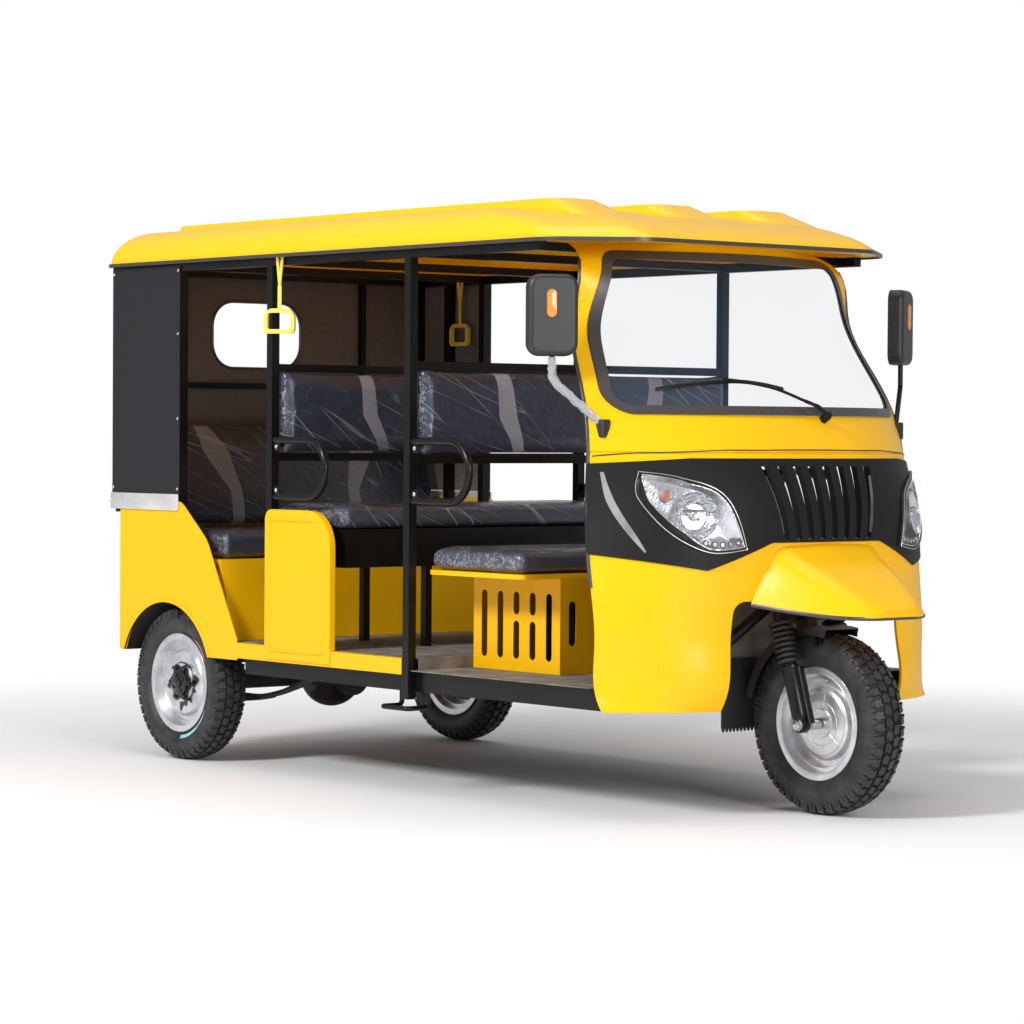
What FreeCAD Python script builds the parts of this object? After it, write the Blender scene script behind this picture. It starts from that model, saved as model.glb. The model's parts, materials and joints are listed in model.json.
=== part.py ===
import FreeCAD, Part
import math
import os
from FreeCAD import Vector

# Passenger rickshaw with one steered front wheel, two rear wheels and three rows of seats.
# Millimetres, +X forwards, +Y to the left, +Z up. The pieces are drawn with x measured from
# the front axle and z from the ground, and are moved to the middle of the length when saved.

# Main sizes
wheelbase = 2490.0
rear_overhang = 386.0
front_overhang = 290.0
track = 1200.0
body_half_width = 680.0
underside_height = 318.0
roof_lip_height = 1703.0
front_floor_height = 387.0
rear_floor_height = 425.0

# Clearances and cuts
overrun = 30.0
seat_gap = 0.3
running_gap = 0.05
shortest_edge = 0.001
sheet = 2.0
panel_skin = 4.0

# Tyres and rims
front_tyre_radius = 272.0
front_tyre_width = 124.0
rear_tyre_radius = 264.0
rear_tyre_width = 122.0
bead_radius = 154.0
bead_width = 88.0
flange_radius = 169.0
flange_wall = 5.0
rim_wall = 6.0
rim_well_depth = 16.0
rim_well_width = 40.0
tyre_bead_height = 19.0
tyre_width_shares = (0.93, 1.0, 0.95, 0.80, 0.36)
tyre_rise_shares = (0.36, 0.62, 0.84, 0.95, 1.0)
tyre_side_count = 64
disc_wall = 8.0
disc_offset = 14.0
hub_radius = 44.0
hub_width = 70.0
drum_radius = 92.0
drum_width = 30.0
cover_radius = 112.0
cover_height = 30.0
cover_radius_shares = (1.0, 0.985, 0.93, 0.82, 0.62, 0.39)
cover_height_shares = (0.0, 0.42, 0.70, 0.88, 0.97, 1.0)
valve_hole_radius = 7.0
valve_circle_radius = 124.0
axle_radius = 9.0
rear_hub_radius = 40.0
rear_hub_reach = 50.0
hub_lobe_radius = 13.0
hub_lobe_circle = 42.0
hub_lobe_count = 6
hub_flange_radius = 66.0
hub_flange_wall = 9.0
disc_step_radius = 106.0
disc_step = 12.0
rear_stub_radius = 16.0
rear_stub_length = 40.0

# Front fork, in its own frame along the steering axis
rake_degrees = 17.0
fork_offset = 32.0
leg_spread = 98.0
leg_radius = 17.0
boot_radius = 25.0
boot_ring = 16.0
boot_height = 128.0
damper_eye_radius = 24.0
damper_eye_width = 30.0
crown_height = 322.0
crown_wall = 26.0
stem_radius = 14.0
head_tube_radius = 27.0
head_tube_length = 160.0
head_gap = 3.0
handlebar_height = 771.0
handlebar_radius = 11.0
handlebar_reach = 310.0
handlebar_rise = 28.0
handlebar_pull_back = 70.0
handlebar_bend = 45.0
grip_radius = 16.0
grip_length = 115.0
mudguard_gap = 14.0
mudguard_wall = 3.0
mudguard_half_width = 70.0
mudguard_skirt = 24.0
mudguard_front_degrees = 62.0
mudguard_rear_degrees = 150.0
mudguard_stay_width = 20.0

# Chassis
rail_height = 66.0
rail_width = 40.0
outer_rail_front = -278.0
inner_rail_half_spacing = 450.0
inner_rail_width = 40.0
inner_rail_height = 50.0
cross_member_width = 40.0
cross_member_height = 40.0
cross_member_count = 6
strut_radius = 18.0
strut_foot_x = -332.0
strut_foot_spread = 300.0

# Cab
cab_nose_x = -12.0
cab_edge_x = -250.0
cab_screen_setback = 380.0
cab_edge_rake = 357.0
cab_wall = 10.0
nose_points = 7
cab_nose_shares = (0.126, 0.058, 0.014, 0.005, 0.210, 0.516, 0.747, 1.0)
cab_width_shares = (0.994, 1.0, 0.997, 0.982, 0.967, 0.921, 0.849, 0.763)
cab_edge_shares = (0.0, 0.084, 0.162, 0.241, 0.262, 0.487, 0.725, 1.0)
cab_power_shares = (4.4, 3.8, 3.6, 3.4, 2.7, 2.4, 2.25, 2.1)
groove_height = 1074.0
groove_width = 5.0
groove_depth = 3.0
well_half_width_low = 372.0
well_half_width_high = 338.0
well_top_height = 640.0
well_corner = 40.0

# Front band, grille and lamps
band_skin = 6.0
band_top_centre = 1059.0
band_top_side = 1038.0
band_bottom_side = 783.0
band_bottom_low = 732.0
band_bottom_low_y = 430.0
band_bottom_centre = 812.0
band_beak_y = 225.0
grille_top_half_width = 255.0
grille_bottom_half_width = 209.0
grille_top = 1035.0
grille_bottom = 822.0
grille_slot_count = 8
grille_bar_share = 0.45
grille_depth = 26.0
lamp_depth = 60.0
lamp_proud = 8.0
lamp_inner_y = 322.0
lamp_outer_y = 583.0
lamp_top = 1018.0
lamp_bottom = 787.0
lamp_corner = 34.0
lamp_tip = 8.0
lamp_gap = 1.0
lamp_y_shares = (0.954, 0.60, 0.19, 0.0, 0.42, 0.78, 1.0)
lamp_z_shares = (1.0, 0.925, 0.70, 0.03, 0.0, 0.25, 0.70)

# Beak over the front wheel
beak_root_x = -62.0
beak_wall = 4.0
beak_corner = 14.0
beak_x_shares = (0.0, 0.40, 0.74, 1.0)
beak_low_half_widths = (294.0, 250.0, 190.0, 122.0)
beak_top_half_widths = (214.0, 176.0, 140.0, 100.0)
beak_low_heights = (634.0, 617.0, 604.0, 598.0)
beak_top_heights = (812.0, 748.0, 680.0, 616.0)

# Windshield
screen_bottom = 1187.0
screen_top = 1680.0
screen_bottom_half_width = 612.0
screen_middle_half_width = 560.0
screen_top_half_width = 474.0
screen_corner = 66.0
screen_side_radius = 600.0
seal_width = 27.0
seal_proud = 7.0
seal_behind = 12.0
glass_wall = 5.0
glass_tuck = 10.0

# Roof
roof_half_width = 706.0
roof_front_x = -284.0
roof_front_corner_x = -470.0
roof_front_corner_y = 470.0
roof_corner_radius = 120.0
roof_rear_radius = 30.0
roof_wall = 6.0
roof_flange = 62.0
roof_front_shelf = 150.0
trim_wall = 6.0
trim_height = 12.0
roof_rise = 119.0
roof_side_inset = 150.0
roof_front_inset = 560.0
roof_rear_inset = 80.0
roof_section_count = 8
roof_front_share = 0.75
rib_height = 23.0
rib_foot_drop = 47.0
rib_half_width = 112.0
rib_spacing = 400.0
rib_rear_x = -2775.0
rib_front_x = -690.0
rib_front_run = 190.0
rib_slope = 18.0
rib_corner = 60.0

# Cage of square tubes
tube = 30.0
corner_pillar_x = -2845.0
mid_pillar_x = -2661.0
rear_pillar_x = -2456.0
middle_pillar_x = -1920.0
front_pillar_x = -1180.0
front_pillar_foot = 295.0
top_rail_front_x = -548.0
bow_height = 26.0

# Backrest rails
backrest_top_rail = 1338.0
backrest_low_rail = 1045.0
backrest_rail_tube = 26.0

# Rear wall, tail panel and curtains
wall_thickness = 8.0
rear_wall_x = -2868.0
rear_wall_bottom = 889.0
rear_window_low_y = -262.0
rear_window_high_y = 128.0
rear_window_bottom = 1355.0
rear_window_top = 1596.0
rear_window_corner = 90.0
wall_rail_height = 1292.0
wall_rail_side = 20.0
wall_post_y = 400.0
curtain_thickness = 5.0
curtain_bottom = 884.0
hem_height = 29.0
hem_thickness = 9.0

# Rear quarter panels, sills and side panels
quarter_rear_x = -2808.0
quarter_front_x = -2093.0
quarter_top = 889.0
quarter_bottom = 365.0
board_wall = 16.0
quarter_shoulder_x = -2431.0
quarter_waist_x = -2273.0
quarter_waist_z = 761.0
quarter_slope_z = 433.0
quarter_corner = 70.0
arch_gap = 12.0
arch_setback = 29.0
arch_lip_width = 12.0
arch_lip_height = 4.0
liner_gap = 34.0
sill_bottom = 372.0
sill_top = 423.0
sill_flange = 30.0
liner_wall = 3.0
liner_inner_y = 500.0
side_panel_rear_x = -1928.0
side_panel_front_x = -1567.0
side_panel_top = 873.0
side_panel_bottom = 380.0
side_panel_corner = 120.0
side_panel_thickness = 22.0

# Driver's bench
driver_board_rear_x = -1160.0
driver_board_front_x = -702.0
driver_board_half_width = 610.0
driver_board_bottom = 685.0
board_thickness = 15.0
board_corner = 24.0
driver_box_rear_x = -1150.0
driver_box_front_x = -728.0
driver_box_half_width = 430.0
driver_cushion_height = 75.0
driver_cushion_margin = 8.0
slot_length = 209.0
slot_width = 28.0
slot_count = 5
slot_pitch = 78.5
slot_bottom = 426.0
slot_bridge_count = 2
slot_bridge_start = 2
slot_bridge = 20.0
slot_bridge_height = 555.0
front_slot_length = 138.0
front_slot_bottom = 475.0
front_slot_count = 7
front_slot_pitch = 127.0

# Benches behind the driver
middle_bench_rear_x = -1960.0
middle_bench_front_x = -1570.0
middle_bench_half_width = 620.0
middle_bench_board = 814.0
middle_skirt = 124.0
bench_leg_y = 272.0
bench_leg = 26.0
middle_cushion_height = 80.0
rear_board_rear_x = -2700.0
rear_board_front_x = -2234.0
rear_board_foot_x = -2152.0
rear_board_height = 695.0
rear_bench_half_width = 655.0
rear_cushion_front_x = -2262.0
rear_cushion_height = 98.0
cushion_corner = 40.0

# Backrests
backrest_thickness = 62.0
backrest_half_width = 642.0
rear_backrest_bottom = 800.0
rear_backrest_top = 1176.0
rear_backrest_lean_degrees = 16.0
rear_backrest_half_width = 640.0

# Grab handles and hand straps
handle_top = 1101.0
handle_bottom = 914.0
handle_reach = 280.0
handle_radius = 12.0
handle_bend = 40.0
strap_width = 26.0
strap_thickness = 3.0
strap_length = 172.0
strap_spread = 30.0
strap_join = 96.0
ring_outer_width = 108.0
ring_outer_height = 82.0
ring_bar = 14.0
ring_corner = 32.0
strap_turn_degrees = 34.0
near_strap_x = -1853.0
far_strap_x = -2580.0

# Mirrors
mirror_x = -440.0
mirror_y = 720.0
mirror_bottom = 1355.0
mirror_height = 240.0
mirror_width = 150.0
mirror_depth = 50.0
mirror_corner = 38.0
mirror_turn_degrees = 30.0
mirror_arm_radius = 8.0
mirror_foot_x = -323.0
mirror_foot_y = 612.0
mirror_foot_z = 1146.0
mirror_elbow_z = 1286.0

# Steps, rear axle, springs and drive
step_x = -1195.0
step_length = 130.0
step_width = 60.0
step_height = 262.0
step_bar_radius = 8.0
axle_tube_radius = 32.0
differential_radius = 110.0
differential_length = 190.0
spring_eye_front_x = -1960.0
spring_eye_rear_x = -2790.0
spring_eye_radius = 18.0
spring_leaf = 8.0
spring_width = 50.0
spring_leaf_count = 4
spring_taper_share = 0.17
clamp_bar_radius = 6.0
clamp_plate = 8.0
engine_length = 300.0
engine_width = 380.0
engine_height = 250.0
engine_x = -970.0
shaft_radius = 24.0
shaft_front_x = -1150.0

# Lamps, flap and dashboard
tail_lamp_height = 120.0
tail_lamp_width = 90.0
tail_lamp_depth = 24.0
tail_lamp_z = 640.0
tail_lamp_y = 570.0
flap_x = -300.0
flap_half_width = 150.0
flap_bottom = 227.0
flap_top = 452.0
flap_thickness = 5.0
dash_bottom = 1118.0
dash_top = 1178.0
dash_rear_x = -330.0
dash_wall = 8.0
toe_board_top = 640.0

# Sizes worked out from those above
rear_axle_x = -wheelbase
roof_rear_x = -wheelbase - rear_overhang
middle_of_length = (roof_rear_x + front_overhang) / 2
rake = math.radians(rake_degrees)
steering_foot = Vector(
    -fork_offset * math.cos(rake), 0, front_tyre_radius - fork_offset * math.sin(rake))
cab_height = roof_lip_height - seat_gap - underside_height
rail_top = underside_height + rail_height
cage_y = body_half_width - seat_gap - tube / 2
cage_inside = cage_y - tube / 2 - seat_gap
skin_outside = body_half_width + seat_gap + panel_skin
outer_rail_rear = quarter_front_x + seat_gap
chassis_rear = quarter_rear_x + board_wall + seat_gap
sill_front_x = front_pillar_x - tube / 2 - seat_gap
toe_board_x = flap_x - flap_thickness - seat_gap
rear_lean = math.radians(rear_backrest_lean_degrees)
rear_backrest_foot_x = (
    rear_wall_x + wall_thickness + wall_rail_side + seat_gap + backrest_thickness * math.cos(rear_lean)
    + (rear_backrest_top - rear_backrest_bottom) * math.sin(rear_lean))
spring_eye_height = rail_top - inner_rail_height - spring_eye_radius - seat_gap
cage_top = roof_lip_height - seat_gap
strap_top = roof_lip_height - seat_gap
near_strap_y = body_half_width + seat_gap + ring_bar / 2
far_strap_y = cage_inside - strap_thickness / 2


def block(x_low, x_high, y_low, y_high, z_low, z_high):
    """Rectangular block between two corners."""
    corner = Vector(x_low, y_low, z_low)
    return Part.makeBox(x_high - x_low, y_high - y_low, z_high - z_low, corner)


def mirrored(shape):
    """The same piece on the other side of the vehicle."""
    return shape.mirror(Vector(0, 0, 0), Vector(0, 1, 0))


def both_sides(shape):
    """A piece and its mirror image as one compound of separate solids."""
    return Part.Compound(list(shape.Solids) + list(mirrored(shape).Solids))


def merged(shapes):
    """Pieces that are one casting, pressing or weldment."""
    body = shapes[0]
    if len(shapes) > 1:
        body = body.fuse(shapes[1:])
    return body.removeSplitter()


def rounded_edges(points, radii, closed):
    """Straight runs between the points, joined by tangent arcs."""
    count = len(points)
    first = 0 if closed else 1
    last = count if closed else count - 1
    starts = {}
    ends = {}
    arcs = {}
    for i in range(first, last):
        corner = points[i]
        before = points[i - 1] - corner
        after = points[(i + 1) % count] - corner
        angle = before.getAngle(after)
        radius = radii[i] if isinstance(radii, (list, tuple)) else radii
        if radius <= 0:
            ends[i] = corner
            starts[i] = corner
            continue
        before.normalize()
        after.normalize()
        reach = radius / math.tan(angle / 2)
        middle = before + after
        middle.normalize()
        depth = radius / math.sin(angle / 2) - radius
        ends[i] = corner + before * reach
        starts[i] = corner + after * reach
        arcs[i] = Part.Arc(ends[i], corner + middle * depth, starts[i]).toShape()
    edges = []
    runs = count if closed else count - 1
    for i in range(runs):
        j = (i + 1) % count
        start = starts.get(i, points[i])
        end = ends.get(j, points[j])
        if start.distanceToPoint(end) > shortest_edge:
            edges.append(Part.makeLine(start, end))
        if j in arcs:
            edges.append(arcs[j])
    return edges


def outline(points, radii=0):
    """Closed wire with rounded corners."""
    return Part.Wire(rounded_edges(points, radii, True))


def plate(points, radii, thickness):
    """Flat piece with a rounded outline, thickened along a vector."""
    return Part.Face(outline(points, radii)).extrude(thickness)


def rod(start, end, radius):
    """Straight round bar."""
    run = end - start
    return Part.makeCylinder(radius, run.Length, start, run)


def bent_bar(points, radius, bend):
    """Round bar bent along rounded corners."""
    path = Part.Wire(rounded_edges(points, bend, False))
    direction = points[1] - points[0]
    section = Part.Wire(Part.makeCircle(radius, points[0], direction))
    return path.makePipeShell([section], True, False)


def square_bar(start, end, side):
    """Square tube, drawn solid, between two points along an axis."""
    half = side / 2
    low = Vector(min(start.x, end.x), min(start.y, end.y), min(start.z, end.z))
    high = Vector(max(start.x, end.x), max(start.y, end.y), max(start.z, end.z))
    grow = Vector(half, half, half)
    for axis in ("x", "y", "z"):
        if getattr(start, axis) != getattr(end, axis):
            setattr(grow, axis, 0)
    low = low - grow
    high = high + grow
    return block(low.x, high.x, low.y, high.y, low.z, high.z)


def turned(points, centre, axis):
    """Solid of revolution from (radius, station) pairs about a line along an axis."""
    side = Vector(1, 0, 0) if abs(axis.x) < abs(axis.z) + abs(axis.y) else Vector(0, 0, 1)
    places = [centre + side * radius + axis * station for radius, station in points]
    face = Part.Face(Part.makePolygon(places + [places[0]]))
    return face.revolve(centre, axis, 360)


def steered(shape):
    """Places a piece drawn along the steering axis on the raked fork."""
    placed = shape.copy()
    placed.rotate(Vector(0, 0, 0), Vector(0, 1, 0), -rake_degrees)
    placed.translate(steering_foot)
    return placed


def faceted_ring(points, centre):
    """Ring of flat sides about the axis along Y, from the distances and sides of its section."""
    rings = []
    for k in range(tyre_side_count):
        turn = 2 * math.pi * k / tyre_side_count
        rings.append([
            centre + Vector(distance * math.sin(turn), side, distance * math.cos(turn))
            for distance, side in points])
    faces = []
    for k in range(tyre_side_count):
        ring, after = rings[k - 1], rings[k]
        for i in range(len(points)):
            corners = [ring[i - 1], ring[i], after[i], after[i - 1], ring[i - 1]]
            faces.append(Part.Face(Part.makePolygon(corners)))
    shell = Part.makeShell(faces)
    shell.sewShape()
    solid = Part.makeSolid(Part.Shell(shell.Faces))
    if solid.Volume < 0:
        solid.reverse()
    return solid


def tyre(radius, width, centre_y, centre_x):
    """Tyre with upright beads, bulging walls and a crowned tread."""
    half_bead = bead_width / 2
    seat = (bead_radius + seat_gap) / math.cos(math.pi / tyre_side_count)
    bead_top = bead_radius + tyre_bead_height
    rise = radius - bead_top
    side = [(seat, half_bead), (bead_top, half_bead)]
    for width_share, rise_share in zip(tyre_width_shares, tyre_rise_shares):
        side.append((bead_top + rise * rise_share, width_share * width / 2))
    other_side = [(distance, -reach) for distance, reach in reversed(side)]
    centre = Vector(centre_x, centre_y, radius)
    return faceted_ring(side + other_side, centre)


def rim_barrel(centre):
    """Rim with two flanges and a drop centre between the bead seats."""
    half = bead_width / 2 + seat_gap
    outer = half + flange_wall
    well = rim_well_width / 2
    low = bead_radius - rim_well_depth
    points = [
        (flange_radius, -outer), (flange_radius, -half), (bead_radius, -half), (bead_radius, -well),
        (low, -well), (low, well), (bead_radius, well), (bead_radius, half),
        (flange_radius, half), (flange_radius, outer), (bead_radius - rim_wall, outer),
        (bead_radius - rim_wall, well + rim_wall), (low - rim_wall, well + rim_wall),
        (low - rim_wall, -well - rim_wall), (bead_radius - rim_wall, -well - rim_wall),
        (bead_radius - rim_wall, -outer)]
    return turned(points, centre, Vector(0, 1, 0))


def wheel_cover(centre, outside):
    """Domed drum cover on one face of the front disc."""
    points = [(0, 0)]
    for radius_share, height_share in zip(cover_radius_shares, cover_height_shares):
        points.append((cover_radius * radius_share, cover_height * height_share))
    points.append((0, cover_height))
    return turned(points, centre, outside)


def front_rim():
    """Front rim with a pressed disc between two domed covers and the hub bored for the axle."""
    centre = Vector(0, 0, front_tyre_radius)
    left = Vector(0, 1, 0)
    disc_edge = bead_radius - rim_well_depth - rim_wall / 2
    disc = turned(
        [(hub_radius / 2, -disc_wall / 2), (disc_edge, -disc_wall / 2),
         (disc_edge, disc_wall / 2), (hub_radius / 2, disc_wall / 2)], centre, left)
    hub = Part.makeCylinder(hub_radius, hub_width, centre - left * (hub_width / 2), left)
    valve = rod(centre + Vector(0, -drum_width, valve_circle_radius),
                centre + Vector(0, drum_width, valve_circle_radius), valve_hole_radius)
    covers = [wheel_cover(centre, left), wheel_cover(centre, -left)]
    body = merged([rim_barrel(centre), disc, hub] + covers).cut(valve)
    bore = Part.makeCylinder(
        axle_radius + running_gap, hub_width + 2 * overrun, centre - left * (hub_width / 2 + overrun), left)
    return body.cut(bore)


def hub_lobes(centre, outside):
    """Ring of round lobes that carry the bolts of the rear hub."""
    lobes = []
    for k in range(hub_lobe_count):
        turn = 2 * math.pi * k / hub_lobe_count
        place = centre + Vector(hub_lobe_circle * math.cos(turn), 0, hub_lobe_circle * math.sin(turn))
        lobes.append(Part.makeCylinder(hub_lobe_radius, rear_hub_reach - hub_flange_wall, place, outside))
    return lobes


def rear_rim():
    """Right-hand rear rim: stepped disc, lobed hub outside, brake drum inside."""
    centre = Vector(rear_axle_x, -track / 2, rear_tyre_radius)
    outside = Vector(0, -1, 0)
    disc_edge = bead_radius - rim_well_depth - rim_wall / 2
    near = disc_offset - disc_wall / 2
    far = disc_offset + disc_wall / 2
    step_foot = disc_step_radius + disc_step
    disc = turned(
        [(rear_hub_radius / 2, near + disc_step), (disc_step_radius, near + disc_step), (step_foot, near),
         (disc_edge, near), (disc_edge, far), (step_foot, far), (disc_step_radius, far + disc_step),
         (rear_hub_radius / 2, far + disc_step)], centre, outside)
    flange = Part.makeCylinder(hub_flange_radius, far + disc_step + hub_flange_wall, centre, outside)
    hub = Part.makeCylinder(rear_hub_radius, rear_hub_reach, centre, outside)
    drum = Part.makeCylinder(drum_radius, drum_width + disc_offset, centre - outside * drum_width, outside)
    body = merged([rim_barrel(centre), disc, flange, hub, drum] + hub_lobes(centre, outside))
    bore = Part.makeCylinder(
        rear_stub_radius + running_gap, rear_stub_length + drum_width + seat_gap,
        centre - outside * (drum_width + seat_gap), outside)
    return body.cut(bore)


def fork():
    """Steering stem, crown and the two upper clamps that carry the dampers."""
    crown = plate(
        [Vector(x, y, crown_height) for x, y in (
            (-head_tube_radius, -head_tube_radius), (fork_offset - leg_radius, -leg_spread - boot_radius),
            (fork_offset + boot_radius, -leg_spread - boot_radius),
            (fork_offset + boot_radius, leg_spread + boot_radius),
            (fork_offset - leg_radius, leg_spread + boot_radius), (-head_tube_radius, head_tube_radius))],
        [head_gap, leg_radius, leg_radius, leg_radius, leg_radius, head_gap], Vector(0, 0, crown_wall))
    stem = rod(Vector(0, 0, crown_height), Vector(0, 0, handlebar_height), stem_radius)
    return steered(merged([crown, stem]))


def front_axle():
    """Axle bolt through the damper eyes and the hub, with a head at each end."""
    half = leg_spread + damper_eye_width / 2 + head_gap
    middle = Vector(0, 0, front_tyre_radius)
    bolt = rod(middle - Vector(0, half, 0), middle + Vector(0, half, 0), axle_radius)
    head = rod(middle - Vector(0, half + axle_radius, 0), middle - Vector(0, half, 0), 2 * axle_radius)
    return merged([bolt, head, mirrored(head)])


def shock_absorber():
    """Right-hand damper: ringed boot on top, slim body, eye around the axle bolt."""
    foot = Vector(fork_offset, -leg_spread, 0)
    boot_bottom = crown_height - seat_gap - boot_height
    rings = []
    ring_count = int(boot_height / boot_ring)
    pitch = boot_height / ring_count
    for k in range(ring_count):
        low = boot_bottom + k * pitch
        rings.extend([(boot_radius, low), (boot_radius, low + pitch / 2),
                      (leg_radius, low + pitch / 2), (leg_radius, low + pitch)])
    profile = [(0, 0), (leg_radius, 0), (leg_radius, boot_bottom)] + rings + [(0, boot_bottom + boot_height)]
    body = turned(profile, foot, Vector(0, 0, 1))
    eye = rod(foot - Vector(0, damper_eye_width / 2, 0), foot + Vector(0, damper_eye_width / 2, 0),
              damper_eye_radius)
    hole = rod(foot - Vector(0, damper_eye_width, 0), foot + Vector(0, damper_eye_width, 0),
               axle_radius + seat_gap)
    return steered(merged([body, eye]).cut(hole))


def handlebar():
    """Bar swept back from the stem, with a clamp and two grips."""
    half_points = [
        Vector(0, handlebar_bend * 2, handlebar_height + handlebar_rise / 2),
        Vector(-handlebar_pull_back / 2, handlebar_reach - grip_length - handlebar_bend,
               handlebar_height + handlebar_rise),
        Vector(-handlebar_pull_back, handlebar_reach, handlebar_height + handlebar_rise)]
    other_half = [Vector(p.x, -p.y, p.z) for p in reversed(half_points)]
    level = Vector(0, 0, handlebar_height + handlebar_rise / 2)
    bar = bent_bar(other_half + half_points, handlebar_radius, handlebar_bend)
    clamp = rod(Vector(0, 0, handlebar_height), level, stem_radius + handlebar_radius / 2)
    direction = half_points[2] - half_points[1]
    direction.normalize()
    grip = rod(half_points[2] - direction * grip_length, half_points[2] + direction * head_gap, grip_radius)
    return steered(merged([bar, clamp, grip, mirrored(grip)]))


def front_mudguard():
    """Guard that hugs the tyre from above the axle round to its back."""
    inner = front_tyre_radius + mudguard_gap
    outer = inner + mudguard_wall
    half = mudguard_half_width
    lip = inner - mudguard_skirt
    points = [(lip, -half), (outer, -half), (outer, half), (lip, half), (lip, half - mudguard_wall),
              (inner, half - mudguard_wall), (inner, -half + mudguard_wall), (lip, -half + mudguard_wall)]
    places = [Vector(0, y, 0) + Vector(r, 0, 0) for r, y in points]
    section = Part.Face(Part.makePolygon(places + [places[0]]))
    section.rotate(Vector(0, 0, 0), Vector(0, 1, 0), -mudguard_front_degrees)
    sweep = mudguard_rear_degrees - mudguard_front_degrees
    guard = section.revolve(Vector(0, 0, 0), Vector(0, -1, 0), sweep)
    guard.translate(Vector(fork_offset, 0, 0))
    stay_top = crown_height - seat_gap
    post = block(
        fork_offset - mudguard_stay_width, fork_offset + mudguard_stay_width,
        -mudguard_stay_width, mudguard_stay_width, inner + mudguard_wall / 2, stay_top)
    return steered(merged([guard, post]))


def chassis_frame():
    """Ladder frame, outer rails, head tube and the two struts down from it."""
    inner_top = rail_top
    pieces = []
    for sign in (-1, 1):
        outer_y = sign * (cage_inside - rail_width / 2)
        pieces.append(block(
            outer_rail_rear, outer_rail_front, outer_y - rail_width / 2, outer_y + rail_width / 2,
            underside_height, rail_top))
        inner_y = sign * inner_rail_half_spacing
        pieces.append(block(
            chassis_rear, strut_foot_x, inner_y - inner_rail_width / 2, inner_y + inner_rail_width / 2,
            inner_top - inner_rail_height, inner_top))
    for k in range(cross_member_count):
        share = k / (cross_member_count - 1)
        start = outer_rail_rear + share * (strut_foot_x - cross_member_width - outer_rail_rear)
        pieces.append(block(
            start, start + cross_member_width, -cage_inside + rail_width / 2,
            cage_inside - rail_width / 2, inner_top - cross_member_height, inner_top))
    pieces.append(block(
        chassis_rear, chassis_rear + cross_member_width, -inner_rail_half_spacing, inner_rail_half_spacing,
        inner_top - cross_member_height, inner_top))
    head_low = crown_height + crown_wall + head_gap
    head = steered(Part.makeCylinder(head_tube_radius, head_tube_length, Vector(0, 0, head_low)))
    strut = head_strut(strut_radius)
    bore = steered(rod(
        Vector(0, 0, head_low - overrun), Vector(0, 0, head_low + head_tube_length + overrun),
        stem_radius + running_gap))
    step = side_step()
    return merged(pieces + [head, strut, mirrored(strut), step, mirrored(step)]).cut(bore)


def head_strut(radius):
    """Left-hand round strut from the head tube down to the front cross member."""
    middle = crown_height + crown_wall + head_gap + head_tube_length / 2
    top = steering_foot + Vector(-math.sin(rake), 0, math.cos(rake)) * middle
    foot = Vector(strut_foot_x - strut_radius, strut_foot_spread, rail_top - strut_radius)
    return rod(top, foot, radius)


def side_step():
    """Right-hand step rung hung under the outer rail beside the front pillar."""
    rail_y = -cage_inside + rail_width / 2
    y = -body_half_width - step_width / 2
    low = step_height + step_bar_radius
    ends = [Vector(step_x - step_length / 2, rail_y, underside_height + rail_width / 2),
            Vector(step_x - step_length / 2, rail_y, low),
            Vector(step_x - step_length / 2, y, low),
            Vector(step_x + step_length / 2, y, low),
            Vector(step_x + step_length / 2, rail_y, low),
            Vector(step_x + step_length / 2, rail_y, underside_height + rail_width / 2)]
    return bent_bar(ends, step_bar_radius, step_bar_radius * 2)


def floor_deck():
    """Front floor, higher rear floor and the riser between them."""
    riser_x = front_pillar_x + tube
    low = rail_top + seat_gap
    front = block(riser_x, toe_board_x, -body_half_width, body_half_width, low, front_floor_height)
    riser = block(riser_x - sheet, riser_x, -cage_inside, cage_inside, low, rear_floor_height)
    rear = block(rear_board_foot_x - board_wall, riser_x, -cage_inside, cage_inside,
                 rear_floor_height - sheet, rear_floor_height)
    toe = block(toe_board_x - sheet, toe_board_x, -well_half_width_high, well_half_width_high,
                underside_height, toe_board_top)
    strut = head_strut(strut_radius + seat_gap)
    return merged([front, riser, rear, toe]).cut([strut, mirrored(strut)])


def cab_levels():
    """Height, nose, half width, rear edge and roundness of each plan section of the cab."""
    levels = []
    last = len(cab_nose_shares) - 1
    shares = zip(cab_nose_shares, cab_width_shares, cab_edge_shares, cab_power_shares)
    for k, (nose, width, edge, power) in enumerate(shares):
        levels.append((
            underside_height + cab_height * k / last, cab_nose_x - nose * cab_screen_setback,
            width * body_half_width, cab_edge_x - edge * cab_edge_rake, power))
    return levels


def cab_form(grow, tail):
    """Solid inside the cab's surface moved outwards by grow, with straight sides behind its edge."""
    sections = []
    for z, nose, half_width, edge, power in cab_levels():
        half = half_width + grow
        depth = nose + grow - edge
        points = []
        for k in range(-nose_points, nose_points + 1):
            share = math.sin(math.pi / 2 * k / nose_points)
            points.append(Vector(nose + grow - depth * abs(share) ** power, share * half, z))
        curve = Part.BSplineCurve()
        curve.interpolate(points)
        back_right = Vector(edge - tail, -half, z)
        back_left = Vector(edge - tail, half, z)
        edges = [curve.toShape()]
        if tail > 0:
            edges.append(Part.makeLine(points[-1], back_left))
            edges.append(Part.makeLine(back_left, back_right))
            edges.append(Part.makeLine(back_right, points[0]))
        else:
            edges.append(Part.makeLine(points[-1], points[0]))
        sections.append(Part.Wire(edges))
    return Part.makeLoft(sections, True, False)


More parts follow.
